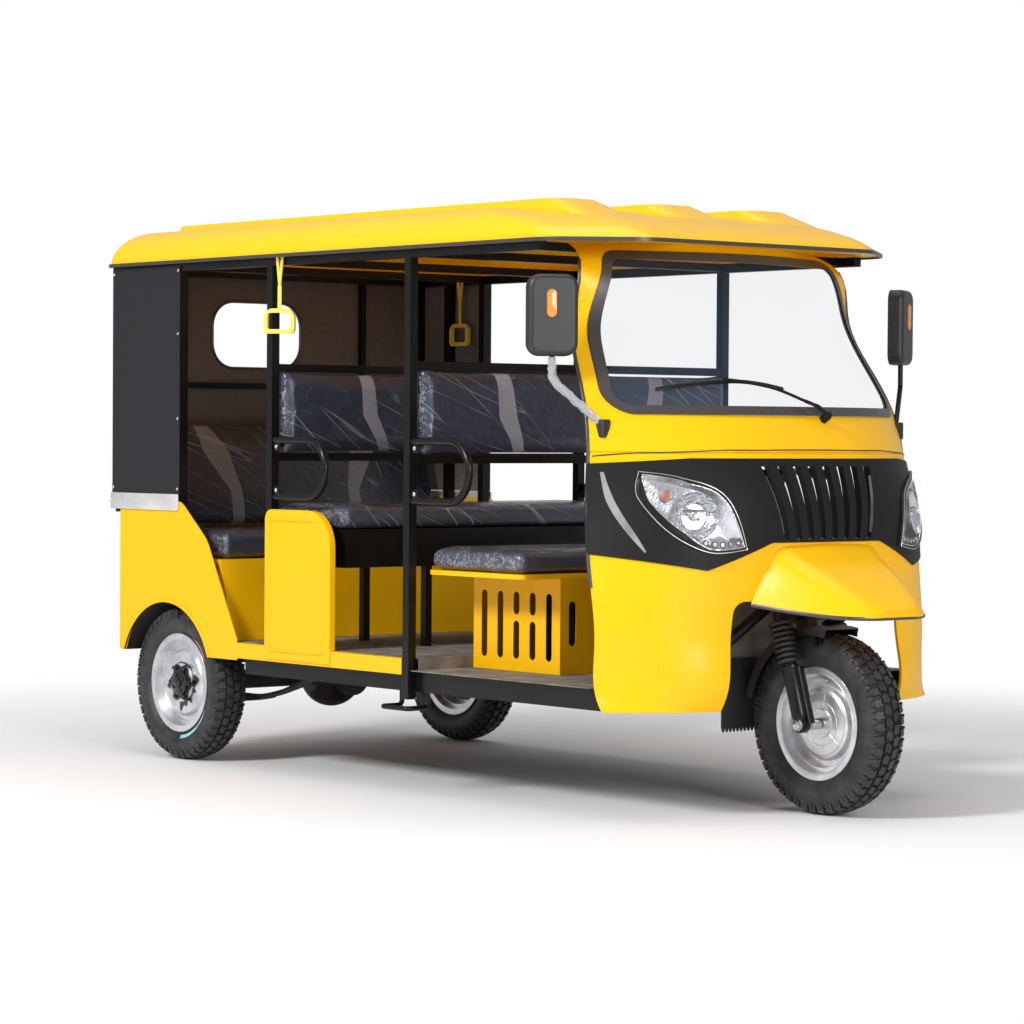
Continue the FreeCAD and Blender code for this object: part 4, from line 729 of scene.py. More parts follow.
def rounded_corners(low: Pair, high: Pair, radius: float, steps: int) -> list[Pair]:
    """Outline of a rectangle with rounded corners, anticlockwise.

    Args:
        low: Lowest corner.
        high: Highest corner.
        radius: Radius of the corners.
        steps: Steps round each corner.

    Returns:
        Places along the outline.
    """
    left, foot, right, head = low[0] + radius, low[1] + radius, high[0] - radius, high[1] - radius
    outline = []
    for quarter, (across, up) in enumerate(((right, head), (left, head), (left, foot), (right, foot))):
        for step in range(steps + 1):
            turn = math.pi / 2 * (quarter + step / steps)
            outline.append((across + radius * math.cos(turn), up + radius * math.sin(turn)))
    return outline


class Skin:
    """Surface of CAD nodes, on which trim can be laid."""

    def __init__(self, *nodes: str) -> None:
        """Reads the meshes of the named CAD nodes.

        Args:
            nodes: Names of the CAD nodes.
        """
        bm = bmesh.new()
        for node in nodes:
            bm.from_mesh(NODES[node].data)
        bmesh.ops.remove_doubles(bm, verts=bm.verts[:], dist=1e-6)
        self.tree = BVHTree.FromBMesh(bm)
        bm.free()

    def hit(self, start: Vector, along: Vector, lift: float = 0.0) -> Vector:
        """First place that a line meets, lifted off the surface.

        Args:
            start: Where the line starts.
            along: Its direction.
            lift: Distance above the surface.

        Returns:
            The place.
        """
        place, normal, _, _ = self.tree.ray_cast(start, along)
        if place is None:
            raise ValueError(f"nothing is met from {start} along {along}")
        return place + (-normal if normal.dot(along) > 0 else normal) * lift

    def met(self, y: float, z: float) -> Optional[Vector]:
        """Place that a line from the front meets at a side and height in millimetres, if any."""
        return self.tree.ray_cast(Vector((3, y * MM, z * MM)), -AHEAD)[0]

    def front(self, y: float, z: float, lift: float = 0.0) -> Vector:
        """Place on the front of the surface at a side and height in millimetres."""
        return self.hit(Vector((3, y * MM, z * MM)), -AHEAD, lift)


# ---- Wheels


@dataclass
class TreadedTyre:
    """Tyre with a carcass, staggered tread blocks and shoulder ribs.

    Attributes:
        node: CAD node that it stands for.
        body: Body that it rides on.
        centre: Middle of the wheel.
        radius: Outer radius.
        width: Width over the side walls.
        bead: Radius of the bead.
        bead_half: Half width at the bead.
        depth: Depth of the tread.
        sink: How far a tread block reaches into the carcass.
        pitches: Tread pattern repeats round the tyre.
        steps: Steps of the carcass round the axis.
        wall: Side wall, as shares of the half width and of the rise from the bead.
        inner, outer: Tread blocks, as shares of the pitch and of the half width.
    """

    node: str
    body: str
    centre: Vector
    radius: float
    width: float
    bead: float = 0.1545
    bead_half: float = 0.044
    depth: float = 0.009
    sink: float = 0.004
    pitches: int = 46
    steps: int = 92
    wall: tuple[Pair, ...] = ((0.88, 0.30), (0.965, 0.45), (0.985, 0.58), (0.955, 0.74), (0.90, 0.86),
                              (0.80, 0.93))
    inner: tuple[Pair, ...] = ((-0.44, 0.03), (-0.12, 0.05), (0.34, 0.02), (0.46, 0.17), (0.28, 0.30),
                               (0.40, 0.42), (0.02, 0.44), (-0.40, 0.40), (-0.52, 0.27), (-0.34, 0.15))
    outer: tuple[Pair, ...] = ((-0.40, 0.52), (0.10, 0.55), (0.42, 0.50), (0.34, 0.66), (0.44, 0.80), (0.30, 0.93),
                               (-0.22, 0.93), (-0.34, 0.79), (-0.24, 0.66))

    def profile(self) -> list[Pair]:
        """Half section from the bead to the middle of the tread.

        Returns:
            Distances from the middle with their radii.
        """
        base, half = self.radius - self.depth, self.width / 2
        return [(self.bead_half - 0.012, self.bead), (self.bead_half, self.bead),
                (self.bead_half, self.bead + 0.018), (self.bead_half + 0.002, self.bead + 0.022),
                *((half * side, self.bead + (base - self.bead) * up) for side, up in self.wall),
                (half * 0.55, base - 0.003), (half * 0.28, base - 0.0008), (0.0, base)]

    def crown(self, side: float) -> float:
        """Outer radius of the tread blocks at a distance from the middle."""
        return self.radius - 0.0003 - 0.0165 * (abs(side) / (self.width / 2)) ** 2.6

    def carcass(self) -> BMesh:
        """Spun body of the tyre.

        Returns:
            The closed carcass.
        """
        bm = bmesh.new()
        half = self.profile()
        section = half + [(-side, radius) for side, radius in reversed(half[:-1])]
        verts = [bm.verts.new((0, side, radius)) for side, radius in section]
        edges = [bm.edges.new((verts[k], verts[(k + 1) % len(verts)])) for k in range(len(verts))]
        bmesh.ops.spin(bm, geom=verts + edges, cent=(0, 0, 0), axis=LEFT, angle=2 * math.pi,
                       steps=self.steps, use_merge=True)
        bmesh.ops.remove_doubles(bm, verts=bm.verts[:], dist=1e-6)
        return bm

    def lug(self, outline: Sequence[Pair]) -> BMesh:
        """One tread block, raised from an outline on the crown.

        Args:
            outline: Corners as distance round the tyre and distance from its middle.

        Returns:
            The block at the top of the tyre.
        """
        bm = bmesh.new()
        face = bm.faces.new([bm.verts.new((round_way, side, 0)) for round_way, side in outline])
        top = extruded(bm, [face], Vector(), keep=False)
        middle = sum((v.co for v in top), Vector()) / len(top)
        for v in bm.verts:
            if v in top:
                v.co = middle + (v.co - middle) * 0.9
            turn = v.co.x / self.radius
            radius = self.crown(v.co.y) - (0.0 if v in top else self.depth + self.sink)
            v.co = Vector((math.sin(turn) * radius, v.co.y, math.cos(turn) * radius))
        bevelled(bm, rims_of(bm, top), 0.0009, 1)
        return bm

    def rib(self, sign: int, shift: float, width: float, reach: float) -> BMesh:
        """Short radial rib on the shoulder.

        Args:
            sign: Side of the tyre.
            shift: Distance round the tyre.
            width: Width of the rib.
            reach: Length down the side wall.

        Returns:
            The rib at the top of the tyre.
        """
        half = self.width / 2
        high = self.crown(half * 0.9) - 0.003
        low = high - reach
        bm = block(Vector((shift - width / 2, sign * half * 0.80, low)),
                   Vector((shift + width / 2, sign * half * 0.995, high)))
        for v in bm.verts:
            if v.co.z > (low + high) / 2 and abs(v.co.y) > half * 0.9:
                v.co.y = sign * half * 0.93
        bevelled(bm, bm.edges[:], 0.0007, 1)
        return bm

    def tread(self) -> BMesh:
        """All the blocks and ribs.

        Returns:
            The tread round the whole tyre.
        """
        pitch = 2 * math.pi * self.radius / self.pitches
        parts = []
        for sign, shift in ((-1, 0.0), (1, 0.5)):
            for outline, offset in ((self.inner, shift), (self.outer, shift + 0.27)):
                parts.append(self.lug([((u + offset) * pitch, sign * t * self.width / 2) for u, t in outline]))
            parts.append(self.rib(sign, (shift + 0.32) * pitch, pitch * 0.34, 0.026))
            parts.append(self.rib(sign, (shift + 0.82) * pitch, pitch * 0.24, 0.016))
        whole = joined(parts)
        bmesh.ops.spin(whole, geom=whole.verts[:] + whole.edges[:] + whole.faces[:], cent=(0, 0, 0), axis=LEFT,
                       angle=2 * math.pi, steps=self.pitches, use_duplicate=True, use_merge=False)
        bmesh.ops.recalc_face_normals(whole, faces=whole.faces[:])
        return whole

    def make(self) -> None:
        """Builds the tyre."""
        bm = joined([self.carcass(), self.tread()])
        bmesh.ops.translate(bm, vec=self.centre, verts=bm.verts[:])
        Piece("treaded_" + self.node, RUBBER, "tyre", self.body, (self.node,), sharp=32).make(bm)


@dataclass
class Damper(Sided):
    """Damper with a ringed boot, flat bar and bright bolts.

    Attributes:
        spread: Distance of its middle from the wheel's, in mm.
        rings: Rings of the boot.
        around: Sides of the round parts.
        tube: Distances up the damper from the axle, with its radii, in mm.
    """

    spread: float = 108.0
    rings: int = 8
    around: int = 28
    tube: tuple[Pair, ...] = ((4, 15), (14, 21), (26, 24.5), (34, 25), (166, 25), (170, 27), (178, 27), (181, 22),
                              (200, 19))

    def spot(self, y: float, v: float = 0, u: float = 0) -> Vector:
        """Place out from the wheel's middle, with v up along the steering axis and u ahead of it, in mm."""
        return at(u * math.cos(RAKE) - v * math.sin(RAKE), self.side * y,
                  272 + u * math.sin(RAKE) + v * math.cos(RAKE))

    def boot(self) -> BMesh:
        """Ringed boot, wider towards its head.

        Returns:
            The boot.
        """
        line, radii = [], []
        steps = self.rings * 6
        for k in range(steps + 1):
            bulge = math.sin(math.pi * (k % 6) / 6) ** 0.7 if k % 6 else 0.0
            line.append(self.spot(self.spread + 3, 186 + 130 * k / steps))
            radii.append((33 + 6 * k / steps - 12 + 12 * bulge) * MM)
        return swept(line, radii, self.around, 1.0, LEFT)

    def make(self) -> None:
        """Builds the damper."""
        tube = swept([self.spot(self.spread, v) for v, _ in self.tube], [r * MM for _, r in self.tube],
                     self.around, 1.0, LEFT)
        eye = disc(self.spot(self.spread), self.out, 0.024, 0.030, 32, 0.003)
        bar = swept([self.spot(self.spread - 16, v, 26) for v in (-2, 60, 120, 172)], 0.0065, 8, 2.0, LEFT)
        self.piece("damper", FRAME_BLACK, "frame_black", joined([tube, eye, bar]), body="steering",
                   replaces=("shock_absorbers",))
        self.piece("damper_boot", PLASTIC, "rubber", self.boot(), body="steering", sharp=60)
        nuts = [disc(self.spot(y), self.out, radius, length, sides, bevel) for y, radius, length, sides, bevel in (
            (129, 0.0165, 0.012, 6, 0.002), (137, 0.0085, 0.006, 20, 0.002), (64.5, 0.0165, 0.055, 28, 0.003))]
        self.piece("axle_nuts", STEEL, "steel", joined(nuts), body="steering")


@dataclass
class Wheel(Sided):
    """Side of a wheel, on which parts are placed by angle.

    Attributes:
        centre: Middle of the wheel.
    """

    centre: Vector

    def spot(self, radius: float, turn: float, out: float) -> Vector:
        """Place by distance from the axle and angle from straight ahead, out from the wheel's middle."""
        return self.centre + Vector((radius * math.cos(turn), self.side * out, radius * math.sin(turn)))


@dataclass
class Hub(Wheel):
    """Greasy hub, bolts and paint marks of a rear wheel.

    Attributes:
        lobes: Shares of the flange's size with their distances out.
        grease: Shares of the grease's spread with their distances out.
    """

    lobes: tuple[Pair, ...] = ((1.0, 0.031), (1.0, 0.0405), (0.97, 0.0425), (0.5, 0.0435))
    grease: tuple[Pair, ...] = ((0.0, 0.0307), (0.6, 0.0311), (1.0, 0.0304))

    def lobed(self) -> BMesh:
        """Flange with six lobes.

        Returns:
            The flange.
        """
        return ringed([[self.spot((0.062 + 0.0075 * math.cos(6 * t)) * share, t, out) for t in turns(96)]
                       for share, out in self.lobes], caps=(-1,))

    def splash(self) -> BMesh:
        """Grease flung on the disc round the flange.

        Returns:
            The thin layer.
        """
        return ringed([[self.spot(0.058 + share * (0.012 + 0.026 * max(0.0, noise.noise(
            Vector((3 * math.cos(t), 3 * math.sin(t), 4.2)))) * 2), t, out) for t in turns(120)]
            for share, out in self.grease])

    def arc(self, start: float, end: float) -> BMesh:
        """Paint mark on the side wall.

        Args:
            start: Angle of its first end, in degrees.
            end: Angle of its other end.

        Returns:
            The mark.
        """
        rows = []
        for k in range(31):
            turn, wide = math.radians(start + (end - start) * k / 30), min(1.0, 0.35 + k / 12)
            rows.append([self.spot(0.1800 + reach * wide, turn, out)
                         for reach, out in ((0, 0.0504), (0.0046, 0.0541), (0.0120, 0.0568))])
        return sheeted(rows, self.out * 0.0006)

    def make(self) -> None:
        """Builds the hub's parts."""
        body = "rear_wheel_" + SIDES[self.side]
        cap = disc(self.centre + self.out * 0.0455, self.out, 0.0452, 0.013, 40, 0.003)
        nose = disc(self.centre + self.out * 0.0545, self.out, 0.019, 0.008, 32, 0.003)
        self.piece("hub", GREASE, "rim", joined([self.lobed(), cap, nose]), body=body)
        bolts = [disc(self.spot(0.055, turn, 0.0462), self.out, 0.0078, 0.009, 6, 0.001) for turn in turns(6)]
        bolts += [disc(self.spot(0.030, turn + 0.5, 0.0535), self.out, 0.0062, 0.006, 6, 0.001)
                  for turn in turns(4)]
        self.piece("hub_bolts", CAST, "steel", joined(bolts), body=body)
        self.piece("hub_grease", GREASE, "rim", self.splash(), body=body)
        for name, finish, start, end in (("rose", ROSE_MARK, 58, 26), ("teal", TEAL_MARK, -20, -84)):
            self.piece(f"tyre_{name}_mark", finish, "tyre", self.arc(start, end), body=body)


@dataclass
class FrontCover(Wheel):
    """Ribs on one side of the front wheel's domed cover, and the valve.

    Attributes:
        ribs: Radii along a rib with their distances out.
        beads: Radius, distance out and thickness of each round bead.
    """

    ribs: tuple[Pair, ...] = ((0.046, 0.0302), (0.058, 0.0297), (0.085, 0.0274), (0.094, 0.0253))
    beads: tuple[Triple, ...] = ((0.094, 0.0253, 0.0014), (0.0655, 0.0293, 0.0016), (0.152, 0.0494, 0.0012))

    def make(self) -> None:
        """Builds the ribs, the beads and the valve."""
        parts = [swept([self.spot(r, turn + 0.35, out) for r, out in self.ribs], 0.0012, 6, 1.0, LEFT)
                 for turn in turns(6)]
        parts += [looped([self.spot(radius, turn, out) for turn in turns(64)], thick, 6)
                  for radius, out, thick in self.beads]
        tag = SIDES[self.side]
        Piece("front_cover_ribs_" + tag, RIM, "rim", "front_wheel").make(joined(parts))
        slope = Vector((-0.826, self.side * 0.563, 0))
        foot = self.spot(0.133, 0.1, 0.0157)
        valve = [disc(foot + slope * 0.001, slope, 0.0085, 0.003, 24, 0.001),
                 disc(foot + slope * 0.008, slope, 0.0042, 0.014, 16, 0.001)]
        Piece("front_valve_" + tag, SEAL, "rubber", "front_wheel").make(joined(valve))


@dataclass
class Wheels:
    """Tyres and wheel trim of the three wheels."""

    front: Vector = field(default_factory=lambda: at(0, 0, 272))
    rear_x: float = -2490
    half_track: float = 600

    def make(self) -> None:
        """Builds the tyres, the hubs and the dampers."""
        TreadedTyre("front_tyre", "front_wheel", self.front, 0.272, 0.124).make()
        for sign, side in SIDES.items():
            centre = at(self.rear_x, sign * self.half_track, 264)
            TreadedTyre("rear_tyre_" + side, "rear_wheel_" + side, centre, 0.264, 0.122).make()
            for part in (Hub(sign, centre), Damper(sign), FrontCover(sign, self.front)):
                part.make()


# ---- Upholstery


@dataclass(frozen=True)
class Stripe:
    """Light band sewn across a pad, once on each side of its middle.

    Attributes:
        levels: Distances along the band, falling, in metres.
        outer: Distance of the outer edge from the middle at each level.
        inner: Distance of the inner edge from the middle at each level.
    """

    levels: Triple
    outer: Triple
    inner: Triple

    def edge(self, table: Triple, level: float) -> float:
        """Distance of an edge from the middle.

        Args:
            table: The edge's distances.
            level: Distance along the band.

        Returns:
            The distance there.
        """
        if level >= self.levels[0]:
            return table[0]
        for high, low, wide, narrow in zip(self.levels, self.levels[1:], table, table[1:]):
            if level >= low:
                return mixed(narrow, wide, (level - low) / (high - low))
        return table[-1]

    def inside(self, side: float, level: float) -> float:
        """How far a place lies inside the band, negative outside it."""
        return min(self.edge(self.outer, level) - abs(side), abs(side) - self.edge(self.inner, level))


@dataclass
class Pad:
    """Upholstered pad that a cloth simulation swells.

    Attributes:
        name: Name of the piece.
        node: CAD node that it stands for.
        low: Lowest corner of its space before it leans.
        high: Highest corner of its space before it leans.
        face: Direction in which it is crowned.
        corner: Radius of its edges before it swells.
        crown: How far the crowned face rises.
        side_slack: Distance of the other faces from their places before they swell.
        lean: Angle that it leans back about its foot, in degrees.
        stripe: Band sewn on it, if it has one.
        fill: How tightly it is stuffed; not used.
    """

    name: str
    node: str
    low: Vector
    high: Vector
    face: Vector
    corner: float = 0.017
    crown: float = 0.014
    side_slack: float = 0.0025
    lean: float = 0.0
    stripe: Optional[Stripe] = None
    fill: float = 0.75

    def start(self, voxel: float) -> bpy.types.Object:
        """Rounded block, remeshed evenly, with the cloth on it.

        Args:
            voxel: Size of the mesh's cells.

        Returns:
            The object before the simulation.
        """
        slack = Vector((self.side_slack,) * 3)
        high = self.high - slack - self.face * self.crown * 0.6
        made = placed(self.name, block(self.low + slack, high, self.corner, 4))
        remesh = made.modifiers.new("even", "REMESH")
        remesh.mode = "VOXEL"
        remesh.voxel_size = voxel
        made.data = self.evaluated(made)
        made.modifiers.clear()
        cloth = made.modifiers.new("cloth", "CLOTH").settings
        cloth.use_pressure = True
        cloth.uniform_pressure_force = 4
        cloth.effector_weights.gravity = 0
        cloth.quality = 4
        return made

    @staticmethod
    def evaluated(made: bpy.types.Object) -> bpy.types.Mesh:
        """The object's mesh with its modifiers applied."""
        return bpy.data.meshes.new_from_object(made.evaluated_get(bpy.context.evaluated_depsgraph_get()))

    def held(self, before: Vector, after: Vector) -> Vector:
        """Place of a point after the simulation, kept to the pad's space.

        Args:
            before: Its place before.
            after: Its place after.

        Returns:
            The place, moved no further than the crown allows.
        """
        move = after - before
        if move.length > self.crown:
            move *= self.crown / move.length
        return Vector([min(max(value, low), high) for value, low, high in zip(before + move, self.low, self.high)])

    def finish(self, made: bpy.types.Object, swollen: bpy.types.Mesh) -> None:
        """Takes over the swollen shape, refines it, marks its band and marks the bunched film at its ends for
        painted glints.

        Args:
            made: The pad's object.
            swollen: The mesh that the simulation gave.
        """
        made.modifiers.clear()
        for vert, moved in zip(made.data.vertices, swollen.vertices):
            vert.co = self.held(vert.co.copy(), moved.co)
        smooth = made.modifiers.new("fine", "SUBSURF")
        smooth.levels = smooth.render_levels = 1
        mesh = self.evaluated(made)
        made.modifiers.clear()
        made.data = mesh
        mesh.shade_smooth()
        mark, end_glint_mask = (mesh.attributes.new(name, "FLOAT", "POINT") for name in ("band", "end_glint_mask"))
        spans = [(min(v.co[k] for v in mesh.vertices), max(v.co[k] for v in mesh.vertices)) for k in range(3)]
        turn = Matrix.Rotation(-math.radians(self.lean), 4, "Y")
        foot = Vector((self.high.x, 0, self.low.z))
        for vert in mesh.vertices:
            for k, (least, most) in enumerate(spans):
                vert.co[k] = mixed(self.low[k], self.high[k], (vert.co[k] - least) / (most - least))
            end = self.high.y - abs(vert.co.y)
            # Mask for the painted glints on the bunched film, rising towards the pad's ends.
            end_glint_mask.data[vert.index].value = 0.38 * max(0.0, 1 - end / 0.016)
            level = vert.co.z if self.face.x else vert.co.x
            mark.data[vert.index].value = self.stripe.inside(vert.co.y, level) if self.stripe else -1.0
            if self.lean:
                vert.co = foot + turn @ (vert.co - foot)
        finish = SEAT if self.stripe else SEAT_TOP
        mesh.materials.clear()
        mesh.materials.append(finish.material())
        Piece(self.name, finish, "seat_vinyl", replaces=(self.node,)).mount(made)


@dataclass
class Seats:
    """Three cushions and three backrests."""

    voxel: float = 0.013
    frames: int = 20

    @staticmethod
    def cushion(name: str, low: Vector, high: Vector) -> Pad:
        """Pad to sit on."""
        return Pad(name + "_cushion", "seat_cushions", low, high, UP)

    @staticmethod
    def backrest(name: str, low: Vector, high: Vector, stripe: Stripe, lean: float = 0.0) -> Pad:
        """Pad to lean on."""
        return Pad(name + "_backrest", "backrests", low, high, AHEAD, 0.016, 0.012, lean=lean, stripe=stripe)

    def pads(self) -> list[Pad]:
        """The six pads with their places.

        Returns:
            The pads, front to rear.
        """
        front = Stripe((1.305, 1.175, 1.056), (0.355, 0.345, 0.267), (0.295, 0.271, 0.229))
        middle = Stripe((1.314, 1.185, 1.066), (0.337, 0.329, 0.250), (0.284, 0.268, 0.205))
        rear = Stripe((1.176, 1.065, 0.925), (0.396, 0.375, 0.285), (0.339, 0.267, 0.235))
        return [self.cushion("driver", at(-1152, -602, 700.3), at(-710, 602, 775.3)),
                self.cushion("middle", at(-1960, -620, 814.3), at(-1570, 620, 894.3)),
                self.cushion("rear", at(-2676, -615, 695.3), at(-2262, 615, 793.3)),
                self.backrest("driver", at(-1193, -642, 1058.3), at(-1131, 642, 1324.7), front),
                self.backrest("middle", at(-1933, -642, 1058.3), at(-1871, 642, 1324.7), middle),
                self.backrest("rear", at(-2738.5, -640, 800), at(-2676.5, 640, 1176), rear, 16)]

    def make(self) -> None:
        """Builds all the pads, with one simulation for all."""
        pads = self.pads()
        started = [pad.start(self.voxel * (1)) for pad in pads]
        for number in range(1, self.frames + 1):
            bpy.context.scene.frame_set(number)
        swollen = [pad.evaluated(made) for pad, made in zip(pads, started)]
        for pad, made, mesh in zip(pads, started, swollen):
            pad.finish(made, mesh)
            bpy.data.meshes.remove(mesh)
        bpy.context.scene.frame_set(1)


# ---- Canvas


@dataclass
class Curtain(Sided):
    """Side curtain with shallow waves, its hem strip and its snaps.

    Attributes:
        low: Rear edge and foot.
        high: Front edge and head.
        y: Distance of its middle from the middle of the vehicle.
        thick: Thickness of the cloth.
        wave: Height of the waves.
        snaps: Places of the snap heads, in mm.
    """

    low: Pair = (-2.860 + SHIFT, 0.913)
    high: Pair = (-2.441 + SHIFT, 1.691)
    y: float = 0.6825
    thick: float = 0.0022
    wave: float = 0.0035
    snaps: tuple[Pair, ...] = ((-2852, 1672), (-2452, 1675), (-2452, 1460), (-2452, 1170), (-2452, 930),
                               (-2852, 930))

    def cloth(self) -> BMesh:
        """The waved sheet.

        Returns:
            The sheet with both its faces.
        """
        across, down = 24, 40
        rows = []
        for k in range(down + 1):
            z = self.low[1] + (self.high[1] - self.low[1]) * k / down
            row = []
            for i in range(across + 1):
                x = self.low[0] + (self.high[0] - self.low[0]) * i / across
                free = math.sin(math.pi * i / across) ** 0.5 * math.sin(math.pi * k / down) ** 0.4
                swing = noise.noise(Vector((x * 5.5, self.side * 3.1, z * 1.6)))
                row.append(Vector((x, self.side * (self.y + self.wave * free * swing), z)))
            rows.append(row)
        return sheeted(rows, self.out * self.thick)

    def make(self) -> None:
        """Builds the curtain with its strip and snaps."""
        sheet = self.piece("curtain", CURTAIN, "curtain_vinyl", self.cloth(), replaces=("side_curtains",),
                           second=(LINING, -self.out))
        strip = [block(at(-2860, self.side * 685.5, 855.5), at(-2441, self.side * 692.5, 912), 0.0022)]
        strip += [ball(at(x, self.side * 692.4, 884), (0.005, 0.0022, 0.005), 12) for x in (-2864, -2460)]
        self.piece("hem_strip", HEM, "hem_metal", joined(strip), replaces=("curtain_hems",))
        heads = [ball(at(x, self.side * 685.6, z), (0.0055, 0.0028, 0.0055), 12) for x, z in self.snaps]
        self.piece("curtain_snaps", STEEL, "hem_metal", joined(heads))


@dataclass
class RearWall:
    """Rear canvas with its window.

    Attributes:
        x: Its outer face.
        half: Half its width.
        foot: Its foot.
        head: Its head.
        window: Sides, foot and head of the window.
        corner: Radius of the window's corners.
        steps: Steps from the window to the edge.
    """

    x: float = -2.8655 + SHIFT
    half: float = 0.680
    foot: float = 0.889
    head: float = 1.703
    window: tuple[float, ...] = (-0.262, 0.128, 1.355, 1.596)
    corner: float = 0.090
    steps: int = 14

    def edge(self, inner: Sequence[Pair]) -> list[Pair]:
        """Places on the wall's edge that face the window's.

        Args:
            inner: Places round the window.

        Returns:
            Places round the wall.
        """
        left, right, foot, head = self.window
        y0, z0 = (left + right) / 2, (foot + head) / 2
        outer = []
        for y, z in inner:
            across, up = y - y0, z - z0
            reach = min(((self.half - y0) if across > 0 else (y0 + self.half)) / max(abs(across), 1e-6),
                        ((self.head - z0) if up > 0 else (z0 - self.foot)) / max(abs(up), 1e-6))
            outer.append((y0 + across * reach, z0 + up * reach))
        for side, level in ((-1, self.foot), (1, self.foot), (1, self.head), (-1, self.head)):
            place = (side * self.half, level)
            outer[min(range(len(outer)), key=lambda k: math.dist(outer[k], place))] = place
        return outer

    def make(self) -> None:
        """Builds the wall and the bead round its window."""
        left, right, foot, head = self.window
        inner = rounded_corners((left, foot), (right, head), self.corner, 8)
        outer = self.edge(inner)
        rows = []
        for share in (step / self.steps for step in range(self.steps + 1)):
            row = []
            for (y0, z0), (y1, z1) in zip(inner, outer):
                y, z = mixed(y0, y1, share), mixed(z0, z1, share)
                swing = noise.noise(Vector((1.7, y * 3.2, z * 4.0))) * math.sin(math.pi * share)
                row.append(Vector((self.x + 0.0022 * swing, y, z)))
            rows.append(row)
        wall = Piece("rear_canvas", CANVAS, "canvas_inside", replaces=("rear_wall",),
                     second=(CURTAIN, -AHEAD)).make(sheeted(rows, AHEAD * 0.0026, closed=True))
        Piece("window_bead", SEAL, "rubber").make(
            looped([Vector((self.x + 0.0013, y, z)) for y, z in inner], 0.006))


# ---- Front trim


@dataclass
class Headlamp(Sided):
    """Lens, gasket, reflector, bezel and small lights of one headlamp.

    Attributes:
        middle: Place inside the lens from the front, as distance from the middle and height, in mm.
        centre: Middle of the round reflector, in the same way.
        reflector: Radius of the reflector.
        around: Places round the reflector.
        upper, lower: Edges of the lens, in the same way.
        lens_shares: Rings of the lens, as shares of its size.
        dish_rings: Rings of the reflector, as shares of its radius, with their depths.
        bowl_rings: Rings of the bowl, as shares of its size, with their depths.
        lights: Places of the small lights.
        lens: Surface of the lens.
        edge: Edge of the lens from the front.
    """

    middle: Pair = (455, 895)
    centre: Pair = (462, 893)
    reflector: float = 0.070
    around: int = 48
    upper: tuple[Pair, ...] = ((571, 1019), (478, 1001), (374, 948), (322, 794))
    lower: tuple[Pair, ...] = ((322, 794), (432, 786), (526, 843), (582, 945), (571, 1019))
    lens_shares: tuple[float, ...] = (0.97, 0.9, 0.8, 0.65, 0.5, 0.35, 0.2, 0.08)
    dish_rings: tuple[Pair, ...] = ((1.0, 0.008), (0.97, 0.005), (0.93, 0.009), (0.72, 0.022), (0.45, 0.034),
                                    (0.2, 0.040))
    bowl_rings: tuple[Pair, ...] = ((1, 0.003), (0.955, 0.010), (0.86, 0.026), (0.6, 0.034), (0.2, 0.036))
    lights: tuple[Pair, ...] = ((349, 815), (371, 810), (394, 807), (418, 808), (442, 813))
    lens: Skin = field(init=False)
    edge: list[Pair] = field(init=False)

    def __post_init__(self) -> None:
        """Reads the lens and draws its edge from the front."""
        self.lens = Skin("headlamps")
        self.edge = rounded_pairs(self.upper, 12)[:-1] + rounded_pairs(self.lower, 10)[:-1]

    def place(self, y: float, z: float, lift: float = 0.0) -> Vector:
        """Place on the lens from the front, carried on straight beyond its solid.

        Args:
            y: Distance from the middle of the vehicle, in mm.
            z: Height, in mm.
            lift: Distance above the surface.

        Returns:
            The place.
        """
        if self.lens.met(self.side * y, z):
            return self.lens.front(self.side * y, z, lift)
        inward = (Vector(self.middle) - Vector((y, z))).normalized()
        reach = next(k for k in range(2, 60, 2) if self.lens.met(self.side * (y + inward.x * k), z + inward.y * k))
        near, far = (self.lens.front(self.side * (y + inward.x * k), z + inward.y * k, lift)
                     for k in (reach, reach + 15))
        return near + (near - far) * (reach / 15)

    def ring(self, edge: Sequence[Pair], share: float = 1.0, lift: float = 0.0, drop: float = 0.0) -> list[Vector]:
        """Ring on the lens.

        Args:
            edge: The ring's places from the front.
            share: Size to which it is drawn in.
            lift: Distance off the lens.
            drop: Distance behind the lens.

        Returns:
            Its places.
        """
        y0, z0 = self.middle
        return [self.place(mixed(y0, y, share), mixed(z0, z, share), lift) - AHEAD * drop for y, z in edge]

    def inset(self, distance: float) -> list[Pair]:
        """The lens's edge drawn in, further along its outer lower side.

        Args:
            distance: How far, in mm.

        Returns:
            Its places from the front.
        """
        y0, z0 = self.middle
        drawn = []
        for y, z in self.edge:
            wide = 1 + 1.3 * max(0.0, min(1.0, (y - 430) / 70)) * max(0.0, min(1.0, (1005 - z) / 30))
            share = 1 - distance * wide / math.dist((y, z), (y0, z0))
            drawn.append((mixed(y0, y, share), mixed(z0, z, share)))
        return drawn

    def axes(self, y: float, z: float) -> tuple[Vector, Vector, Vector, Vector]:
        """Place on the lens with the directions along it and out of it.

        Args:
            y: Distance from the middle of the vehicle, in mm.
            z: Height, in mm.

        Returns:
            The place, the direction across, the direction up and the normal.
        """
        across = (self.place(y + 24, z) - self.place(y - 24, z)).normalized()
        up = (self.place(y, z + 24) - self.place(y, z - 24)).normalized()
        out = across.cross(up).normalized()
        out = out if out.x > 0 else -out
        return self.place(y, z), across, out.cross(across) * -self.side, out

    def dish(self) -> BMesh:
        """Round reflector with a raised lip and ribs round its slope.

        Returns:
            The reflector.
        """
        foot, across, up, out = self.axes(*self.centre)
        rings = []
        for share, depth in self.dish_rings:
            ring = []
            for k, turn in enumerate(turns(self.around)):
                wavy = 1 + (0.012 if k % 2 else -0.012) * (0.3 < share < 0.95)
                ring.append(foot - out * depth
                            + (across * math.cos(turn) + up * math.sin(turn)) * self.reflector * share * wavy)
            rings.append(ring)
        return ringed(rings, caps=(-1,))

